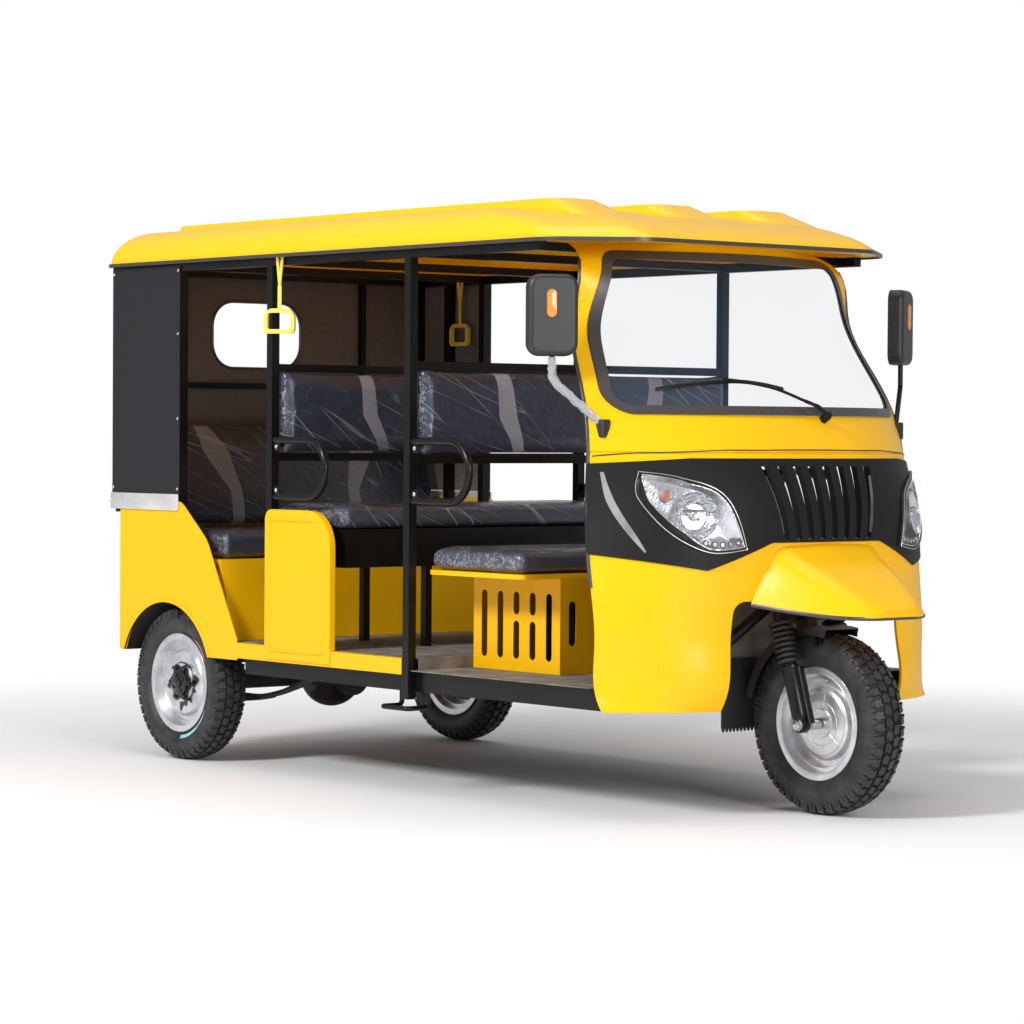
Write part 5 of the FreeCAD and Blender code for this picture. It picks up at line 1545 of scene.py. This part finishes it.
    def make_inside(self) -> None:
        """Builds the reflector with its bulb cap and shade, and the coloured and small lights."""
        self.piece("lamp_reflector", MIRRORED, "lamp_lens", self.dish())
        foot, across, up, out = self.axes(*self.centre)
        self.piece("lamp_bulb_cap", STEEL, "steel", disc(foot - out * 0.024, out, 0.011, 0.026, 20, 0.003))
        middle = foot - out * 0.014 - up * 0.017
        line = [middle - across * 0.036, middle, middle + across * 0.036]
        self.piece("lamp_shade", PLASTIC, "black_plastic", swept(line, 0.004, 8, 0.8))
        spot, _, _, out = self.axes(522, 952)
        self.piece("lamp_amber", RUSSET, "lamp_lens", disc(spot - out * 0.013, out, 0.017, 0.012, 24, 0.003))
        dots, collars = [], []
        for light in self.lights:
            place, _, _, out = self.axes(*light)
            place -= out * 0.004
            dots.append(disc(place, out, 0.0065, 0.008, 16, 0.002))
            side = out.orthogonal().normalized()
            collar = [place + (side * math.cos(t) + out.cross(side) * math.sin(t)) * 0.0085 for t in turns(20)]
            collars.append(looped(collar, 0.0022, 6))
        self.piece("lamp_small_lights", MIRRORED, "lamp_lens", joined(dots))
        self.piece("lamp_light_collars", PLASTIC, "black_plastic", joined(collars))

    def make(self) -> None:
        """Builds the parts of the lamp."""
        inner, edge = self.inset(9), self.edge
        clear = [self.ring(edge, drop=0.016), self.ring(edge)]
        clear += [self.ring(edge, share) for share in self.lens_shares]
        self.piece("lamp_lens", CLEAR, "lamp_lens", ringed(clear, caps=(-1,)), replaces=("headlamps",))
        gasket = [self.ring(edge, 1, 0.0005, 0.012), self.ring(edge, 1, 0.0005),
                  self.ring(self.inset(1.2), 1, 0.0022), self.ring(self.inset(8), 1, 0.0022),
                  self.ring(inner, 1, 0.0004), self.ring(inner, drop=0.006)]
        self.piece("lamp_gasket", GASKET, "rubber", ringed(gasket))
        self.piece("lamp_edge", CRESCENT, "steel", looped(self.ring(self.inset(-0.5), 1, 0.0012), 0.0016, 6))
        self.piece("lamp_rim", CHROME, "lamp_lens", looped(self.ring(self.inset(9.8), 1, 0.0008), 0.0021, 6))
        bowl = [self.ring(inner, share, drop=depth) for share, depth in self.bowl_rings]
        self.piece("lamp_bowl", CHROME, "lamp_lens", ringed(bowl))
        self.make_inside()


@dataclass
class Beak:
    """Hood over the front wheel, with a rubber lip under its edge.

    Attributes:
        stations: Distance ahead, half widths at the foot and top, and heights of both, in mm.
        wall: Thickness of the hood, in mm.
        nose: Length over which its front corners are rounded, in mm.
        root: Distance ahead of its first station where the cab hides it, in mm.
    """

    stations: tuple[tuple[float, ...], ...] = ((-62, 294, 214, 634, 812), (78.8, 250, 176, 617, 748),
                                               (198.5, 190, 140, 604, 682), (288, 126, 102, 600, 621))
    wall: float = 4.0
    nose: float = 62.0
    root: float = -36

    def rows(self) -> list[tuple[float, ...]]:
        """Stations in close steps, with the nose rounded from above.

        Returns:
            Rows of distance ahead, half widths and heights.
        """
        widths = rounded_line([Vector((x, a, b)) for x, a, b, _, _ in self.stations], 8)
        heights = rounded_line([Vector((x, a, b)) for x, _, _, a, b in self.stations], 8)
        length = self.stations[-1][0]
        rows = [(wide.x, wide.y, wide.z, high.y, high.z) for wide, high in zip(widths, heights)]
        body = [row for row in rows if row[0] < length - self.nose - 3]
        for turn in (math.pi / 2 * k / 12 for k in range(13)):
            x = length - self.nose + self.nose * math.sin(turn)
            after = next(n for n in range(1, len(rows)) if rows[n][0] >= x - 1e-6)
            share = (x - rows[after - 1][0]) / (rows[after][0] - rows[after - 1][0])
            ahead, low_half, top_half, low, top = (mixed(a, b, share)
                                                   for a, b in zip(rows[after - 1], rows[after]))
            cut = 56 * (1 - math.cos(turn))
            body.append((ahead, low_half - cut, top_half - cut * 0.9, low, top))
        return body

    def arch(self, row: tuple[float, ...], inset: float) -> list[Vector]:
        """Section from the right foot over the top to the left foot.

        Args:
            row: Distance ahead, half widths and heights.
            inset: Distance inside the outer face.

        Returns:
            Places along the section, in millimetres.
        """
        x, low_half, top_half, low, top = row
        x -= inset if x > 100 else 0
        foot = Vector((low_half - inset, low))
        corner = Vector((top_half - inset * 0.8, top - inset))
        crest = Vector((0, top - inset + 0.05 * (top - low)))
        reach = min(46.0, (corner - foot).length * 0.6)
        start = corner + (foot - corner).normalized() * reach
        end = corner + (crest - corner).normalized() * reach
        half = [mixed(foot, start, k / 4) for k in range(4)]
        half += [start * (1 - t) ** 2 + corner * 2 * t * (1 - t) + end * t * t for t in (k / 8 for k in range(9))]
        half += [mixed(end, crest, k / 4) for k in range(1, 5)]
        return [Vector((x, -p.x, p.y)) for p in half] + [Vector((x, p.x, p.y)) for p in reversed(half[:-1])]

    def sheet(self, cab: Skin, inset: float) -> list[list[Vector]]:
        """Outer or inner face of the hood, with its root on the cab.

        Args:
            cab: Surface of the cab.
            inset: Distance inside the outer face.

        Returns:
            Rows of places, in millimetres.
        """
        rows = self.rows()
        root = self.arch(rows[2], inset)
        for place in root:
            met = cab.met(place.y, place.z)
            place.x = (met.x - SHIFT) / MM - 1.5 if met and met.x - SHIFT > -0.05 else self.root
        return [root] + [self.arch(row, inset) for row in rows if row[0] > 2]

    def make(self) -> None:
        """Builds the hood and its lip."""
        cab = Skin("cab_shell", "grille_band")
        sheets = [self.sheet(cab, inset) for inset in (0.0, self.wall)]
        bm = bmesh.new()
        outer, inner = ([[bm.verts.new(at(*p)) for p in row] for row in sheet] for sheet in sheets)
        strips = [pair for sheet in (outer, inner) for pair in zip(sheet, sheet[1:])]
        strips += [([row[side] for row in outer], [row[side] for row in inner]) for side in (0, -1)]
        for low, high in strips + [(outer[0], inner[0])]:
            for k in range(len(low) - 1):
                bm.faces.new((low[k], low[k + 1], high[k + 1], high[k]))
        bm.faces.new(outer[-1])
        bm.faces.new(inner[-1])
        bm.faces.new((outer[-1][0], outer[-1][-1], inner[-1][-1], inner[-1][0]))
        Piece("beak", YELLOW, "yellow_paint", replaces=("front_fender",), sharp=50).make(bm)
        rows = sheets[0]
        edge = [at(row[0].x - 4 * k / len(rows), row[0].y + 3, row[0].z - 1.5) for k, row in enumerate(rows)]
        front = [Vector((edge[-1].x, edge[-1].y * (1 - 2 * t), edge[-1].z)) for t in (0.2, 0.35, 0.5, 0.65, 0.8)]
        line = edge + front + [Vector((p.x, -p.y, p.z)) for p in reversed(edge)]
        Piece("beak_lip", SEAL, "rubber").make(swept(line, 0.0042, 10, 1.5))


@dataclass
class SideTrim(Sided):
    """Wheel arch's coat, panel bead, cab edge, crescent, and a silver strip on the grille's edge painted as its
    highlight, of one side.

    Attributes:
        crescent: Heights of the crescent's outer and inner edges with their distances from the middle, in mm.
        grille: Foot and head of the silver strip on the grille's outermost bar, a painted reflection of the glossy
            bar, in the same way.
    """

    crescent: tuple[tuple[Pair, ...], ...] = (
        ((643, 1017), (641, 975), (636, 930), (622, 880), (603, 833), (576, 783)),
        ((636, 1017), (630, 975), (621, 930), (607, 882), (590, 835), (573, 786)))
    grille: tuple[Pair, Pair] = ((183.2, 838), (219.9, 1008))

    def rear_edge(self) -> list[Vector]:
        """Rear edge of the cab's side.

        Returns:
            Places from the foot to the roof.
        """
        cab = Skin("cab_shell")
        line = []
        for z in range(330, 1690, 34):
            for x in range(-640, -290, 2):
                met = cab.tree.ray_cast(at(x, self.side * 1000, z), -self.out)[0]
                if met and met.y * self.side > 0.45:
                    line.append(met - AHEAD * 0.001)
                    break
        return [(before + place * 2 + after) / 4
                for before, place, after in zip(line[:1] + line, line, line[1:] + line[-1:])]

    def arch_lining(self) -> BMesh:
        """Dark coat on the inside of a wheel arch, over the quarter panel's own faces.

        Returns:
            The coat.
        """
        hub, source = at(-2490, 0, 264), NODES["rear_quarters"].data
        bm = bmesh.new()
        for face in source.polygons:
            away = face.center - hub
            reach = math.hypot(away.x, away.z)
            inward = -(face.normal.x * away.x + face.normal.z * away.z) / reach
            if face.center.y * self.side > 0.3 and reach < 0.345 and inward > 0.8:
                bm.faces.new([bm.verts.new(source.vertices[v].co + face.normal * 0.0012) for v in face.vertices])
        bmesh.ops.remove_doubles(bm, verts=bm.verts[:], dist=0.0004)
        return bm

    def panel_bead(self) -> BMesh:
        """Raised line set in from the outline of a side panel.

        Returns:
            The bead.
        """
        panel = Skin("side_panels")
        corner = [(-1655 + 56 * math.cos(math.pi / 2 * k / 6), 783 + 56 * math.sin(math.pi / 2 * k / 6))
                  for k in range(7)]
        outline = [(-1599, 410), (-1599, 600), *corner, (-1780, 839), (-1896, 839), (-1896, 600), (-1896, 410),
                   (-1750, 410)]
        places = []
        for (x0, z0), (x1, z1) in zip(outline, outline[1:] + outline[:1]):
            steps = max(1, int(math.dist((x0, z0), (x1, z1)) / 40))
            for share in (k / steps for k in range(steps)):
                start = at(mixed(x0, x1, share), self.side * 1000, mixed(z0, z1, share))
                places.append(panel.hit(start, -self.out))
        return looped(places, 0.0046)

    def make(self) -> None:
        """Builds the trim of the side."""
        self.piece("arch_lining", PLASTIC, "black_plastic", self.arch_lining())
        self.piece("panel_bead", YELLOW, "yellow_paint", self.panel_bead())
        self.piece("cab_edge_bead", SEAL, "rubber", swept(self.rear_edge(), 0.0058, 10, 1.0, AHEAD))
        band = Skin("grille_band")
        outer, inner = (rounded_pairs(edge, 5) for edge in self.crescent)
        rows = [[band.front(self.side * mixed(y0, y1, share), mixed(z0, z1, share), 0.0004)
                 for share in (0, 0.5, 1)] for (y0, z0), (y1, z1) in zip(outer, inner)]
        self.piece("band_crescent", CRESCENT, "steel", sheeted(rows, AHEAD * 0.0008 + self.out * 0.0012))
        # Painted reflection: the silver strip on the grille's outermost bar stands in for the glossy bar's
        # reflection.
        (y0, z0), (y1, z1) = self.grille
        rows = []
        for share in (step / 8 for step in range(9)):
            edge = band.front(self.side * (mixed(y0, y1, share) + 4), mixed(z0, z1, share), -0.0008)
            edge -= self.out * 0.0046
            rows.append([edge, edge - AHEAD * 0.009])
        self.piece("grille_edge", CRESCENT, "steel", sheeted(rows, -self.out * 0.0012))


@dataclass
class Trim:
    """Dark bead in the groove above the band, painted shade of the groove, and the mud flap.

    Attributes:
        groove: Distances from the middle with their heights, in mm.
        notches: Notches in the flap's hem.
    """

    groove: tuple[Pair, ...] = ((652, 1063), (587, 1071), (449, 1077), (309, 1083), (214, 1083),
                                (90, 1084), (0, 1084))
    notches: int = 20

    def make(self) -> None:
        """Builds the dark bead that paints the groove's shade, and the flap."""
        face = Skin("grille_band", "cab_shell")
        # Painted shade: a dark bead laid in the groove stands in for the shade inside it.
        half = [face.front(-y, z, 0.0003) for y, z in self.groove]
        line = rounded_line(half + [Vector((p.x, -p.y, p.z)) for p in reversed(half[:-1])], 5)
        Piece("band_groove", SEAL, "rubber").make(swept(line, 0.0026, 8, 0.8))
        outline = [(150, 452), (-150, 452)]
        for y in (-150 + 300 * k / self.notches for k in range(self.notches)):
            outline += [(y, 247), (y + 5, 229), (y + 9, 229)]
        flap, _ = plated([at(-305, y, z) for y, z in outline + [(150, 247)]], AHEAD * 0.005)
        Piece("notched_flap", PLASTIC, "rubber", replaces=("mud_flap",)).make(flap)


@dataclass
class Handles(Sided):
    """Looped grab handles of one side, with their bolted tabs.

    Attributes:
        starts: Distances of their rear ends ahead of the front axle, in mm.
        reach: Length, in mm.
        foot: Height of the lower bar, in mm.
        head: Height of the upper bar, in mm.
        distance: Distance from the middle of the vehicle, in mm.
        radius: Radius of the bar, in metres.
    """

    starts: Pair = (-1905, -1165)
    reach: float = 280
    foot: float = 914
    head: float = 1101
    distance: float = 664.7
    radius: float = 0.0128

    def make(self) -> None:
        """Builds the two handles."""
        bend, middle = (self.head - self.foot) / 2, (self.head + self.foot) / 2
        y = self.side * self.distance
        for name, x in zip(("middle", "front"), self.starts):
            turn = x + self.reach - bend
            line = [at(mixed(x, turn, k / 3), y, self.foot) for k in range(3)]
            line += [at(turn + bend * math.sin(angle), y, middle - bend * math.cos(angle))
                     for angle in (math.pi * k / 18 for k in range(19))]
            line += [at(mixed(turn, x, k / 3), y, self.head) for k in range(1, 4)]
            parts, bolts = [swept(line, self.radius, 14, 1.0, LEFT)], []
            for z in (self.foot + 22, self.head - 22):
                parts.append(block(at(x, y + self.side * 4, z - 15), at(x + 34, y + self.side * 9, z + 15),
                                   0.0015))
                bolts.append(ball(at(x + 17, y + self.side * 9.5, z), (0.0075, 0.004, 0.0075), 14))
            self.piece(name + "_handle", FRAME_BLACK, "frame_black", joined(parts), replaces=("grab_handles",))
            self.piece(name + "_handle_bolts", STEEL, "steel", joined(bolts))


@dataclass
class Wiper:
    """Wiper with its arm, spring shroud and blade.

    Attributes:
        pivot: Foot of the post.
        arm: Distances from the middle, heights and distances off the glass of the arm, in mm.
        blade: Distances from the middle and heights of the blade, in mm.
        out: Direction out of the glass.
    """

    pivot: Vector = field(default_factory=lambda: at(-132.7, 100.3, 1174.8))
    arm: tuple[Triple, ...] = ((100, 1175, 26), (62, 1201, 26), (25, 1219, 24), (-70, 1257, 20), (-165, 1276, 17),
                               (-240, 1285, 16))
    blade: tuple[Pair, ...] = ((-30, 1262), (-110, 1276), (-200, 1283), (-300, 1277), (-395, 1266), (-455, 1256))
    out: Vector = field(default_factory=lambda: Vector((0.85, 0, 0.52)))

    def make(self) -> None:
        """Builds the wiper."""
        glass = Skin("windshield_glass", "windshield_seal", "cab_shell")
        places = [glass.front(y, z, lift * MM) for y, z, lift in self.arm]
        line = rounded_line([glass.front(y, z, 0.009) for y, z in self.blade], 4)
        Piece("wiper", FRAME_BLACK, "black_plastic").make(joined([
            disc(self.pivot + self.out * 0.012, self.out, 0.013, 0.030, 20, 0.003),
            disc(self.pivot + self.out * 0.030, self.out, 0.010, 0.012, 6, 0.001),
            swept(rounded_line(places[:3], 4), [0.010] * 5 + [0.007] * 4, 8, 0.55, self.out),
            swept(rounded_line(places[1:], 4), 0.0055, 8, 0.7, self.out),
            swept(line, 0.0068, 8, 0.6, self.out),
            swept([p - self.out * 0.0045 for p in line], 0.0028, 6, 1.0, self.out)]))


@dataclass
class Mirror(Sided):
    """Bracket and amber repeater of one mirror, and on the right the film round its arm.

    Attributes:
        facing: Direction that the repeater faces, and on the other side mirrored.
        repeater: Place, width, height and thickness of the repeater.
    """

    facing: Vector = field(default_factory=lambda: Vector((0.87, 0.5, 0)).normalized())
    repeater: tuple[Vector, float, float, float] = (at(-399.5, 749.9, 1509), 0.030, 0.082, 0.005)

    def plate(self) -> BMesh:
        """Upright plate of the repeater with round ends.

        Returns:
            The plate.
        """
        place, wide, high, lift = self.repeater
        flip = Vector((1, self.side, 1))
        out = self.facing * flip
        across = Vector((-out.y, out.x, 0))
        outline = rounded_corners((-wide / 2, -high / 2), (wide / 2, high / 2), min(wide, high) / 2 * 0.98, 8)
        bm, top = plated([place * flip - out * 0.001 + across * u + UP * v for u, v in outline], out * lift)
        bevelled(bm, rims_of(bm, top), lift * 0.4, 2)
        return bm

    @staticmethod
    def wrapped_arm() -> BMesh:
        """Crumpled clear film round the right mirror's arm.

        Returns:
            The film.
        """
        foot, elbow, top = at(-323, -612, 1150), at(-418, -732.5, 1286), at(-418, -732.5, 1353)
        line = [mixed(foot, elbow, 0.10 + 0.80 * k / 20) for k in range(21)]
        line += [mixed(elbow, top, 0.15 + 0.83 * k / 10) for k in range(11)]
        bm = swept(line, 0.0125, 16, 1.0, Vector((0.7, 0.3, 0.6)).normalized())
        for vert in bm.verts:
            centre = min(line, key=lambda place: (place - vert.co).length)
            vert.co = centre + (vert.co - centre) * (1 + 0.32 * noise.noise(vert.co * 90))
        return bm

    def make(self) -> None:
        """Builds the trim of the mirror."""
        if self.side < 0:
            self.piece("mirror_arm_wrap", WRAP, "glass", self.wrapped_arm(), sharp=25)
        box = block(at(-339, self.side * 600, 1117), at(-306, self.side * 633, 1171), 0.004)
        self.piece("mirror_bracket", PLASTIC, "black_plastic", box)
        self.piece("mirror_repeater", AMBER, "lamp_lens", self.plate())


# ---- Studio


@dataclass
class Studio:
    """Floor, light and the camera of the front three-quarter view.

    Attributes:
        place: Where the camera stands.
        azimuth: Its direction from the right side towards the front, in degrees.
        pitch: Angle that it looks down, in radians.
        roll: Angle that it is rolled, in radians.
        lens: Focal length on a sensor 36 mm wide.
        floor_half: Half the floor's size.
        ambient: Strength of the light from all round.
        lights: Name, place, power in watts and size of each square soft light.
    """

    place: Vector = field(default_factory=lambda: Vector((8.25726, -6.97466, 1.12959)))
    azimuth: float = 50.46
    pitch: float = 0.024
    roll: float = 0.007
    lens: float = 116.0
    floor_half: float = 60.0
    ambient: float = 0.42
    lights: tuple[tuple[str, Triple, float, float], ...] = (
        ("key", (0.8, -9.0, 6.2), 830, 2.0), ("front_fill", (9.0, -2.0, 3.0), 300, 3.0),
        ("top", (0, 0, 7.0), 110, 5.0))

    def camera(self) -> None:
        """Puts the camera where the view needs it."""
        turn = math.radians(self.azimuth)
        back = Vector((math.sin(turn) * math.cos(self.pitch), -math.cos(turn) * math.cos(self.pitch),
                       math.sin(self.pitch)))
        right = Vector((math.cos(turn), math.sin(turn), 0))
        up = back.cross(right)
        axes = (right * math.cos(self.roll) + up * math.sin(self.roll),
                up * math.cos(self.roll) - right * math.sin(self.roll), back)
        data = bpy.data.cameras.new("view")
        data.lens, data.sensor_width, data.clip_end = self.lens, 36, 200
        made = placed("view", data)
        made.matrix_world = Matrix.Translation(self.place) @ Matrix(axes).transposed().to_4x4()
        bpy.context.scene.camera = made

    @staticmethod
    def seen(graph: Graph, share: Any, first: Socket, second: Socket, end: str) -> None:
        """Gives camera rays another surface.

        Args:
            graph: Nodes of the material or world.
            share: How much of the other surface they see.
            first: Surface for all other rays.
            second: The other surface.
            end: Name of the output node.
        """
        camera = graph.add("LightPath", "Is Camera Ray", {})
        mix = graph.add("MixShader", "Shader", {"Fac": graph.math("MULTIPLY", share, camera), 1: first, 2: second})
        graph.fill(graph.nodes[end], {"Surface": mix})

    def floor(self) -> None:
        """Lays the pale floor, which fades into the white ground away from the vehicle."""
        bm = bmesh.new()
        bmesh.ops.create_grid(bm, x_segments=1, y_segments=1, size=self.floor_half)
        made = placed("studio_floor", bm)
        made.data.materials.append(FLOOR.material())
        graph = Graph(FLOOR.material())
        far = graph.add("VectorMath", "Value", {0: graph.place()}, operation="LENGTH")
        share = graph.add("MapRange", "Result", {"Value": far, "From Min": 1.6, "From Max": 5.0},
                          interpolation_type="SMOOTHSTEP")
        self.seen(graph, share, graph.nodes["Principled BSDF"].outputs["BSDF"],
                  graph.add("Emission", "Emission", {}), "Material Output")

    def surroundings(self) -> None:
        """Soft light from all round, in front of a white ground."""
        world = bpy.data.worlds.new("studio")
        graph = Graph(world)
        light = graph.nodes["Background"]
        graph.fill(light, {"Color": (0.96, 0.98, 1.0, 1), "Strength": self.ambient})
        ground = graph.add("Background", "Background", {"Color": (1, 1, 1, 1), "Strength": 1.0})
        self.seen(graph, 1.0, light.outputs["Background"], ground, "World Output")
        bpy.context.scene.world = world

    def make(self) -> None:
        """Builds the floor, the lights and the camera."""
        self.camera()
        self.floor()
        self.surroundings()
        bpy.context.scene.view_settings.view_transform = "Standard"
        for name, place, power, size in self.lights:
            data = bpy.data.lights.new(name, "AREA")
            data.energy, data.size = power, size
            made = placed(name, data)
            made.location = place
            made.rotation_mode = "QUATERNION"
            made.rotation_quaternion = (Vector((0, 0, 0.8)) - Vector(place)).to_track_quat("-Z", "Y")


def dress_frame() -> None:
    """Gives each CAD node the finish of its material slot."""
    for node in NODES.values():
        for k, slot in enumerate(node.data.materials):
            node.data.materials[k] = SLOT_FINISHES[slot.name.split(".")[0]].material()
    NODES["roof_shell"].data.materials[0] = ROOF.material()
    for name in ("leaf_springs", "rear_axle", "drive_shaft"):
        NODES[name].data.materials[0] = CAST.material()


def main() -> None:
    """Builds every sub-assembly in order and reports each piece."""
    logging.basicConfig(level=logging.INFO, format="%(name)s %(message)s")
    dress_frame()
    parts = [Studio(), Wheels(), Seats(), RearWall(), Beak(), Trim(), Wiper()]
    parts += [kind(side) for side in SIDES for kind in (Curtain, Headlamp, SideTrim, Handles, Mirror)]
    for part in parts:
        part.make()
        log.info("%s done", type(part).__name__)


if __name__ == "__main__":
    main()
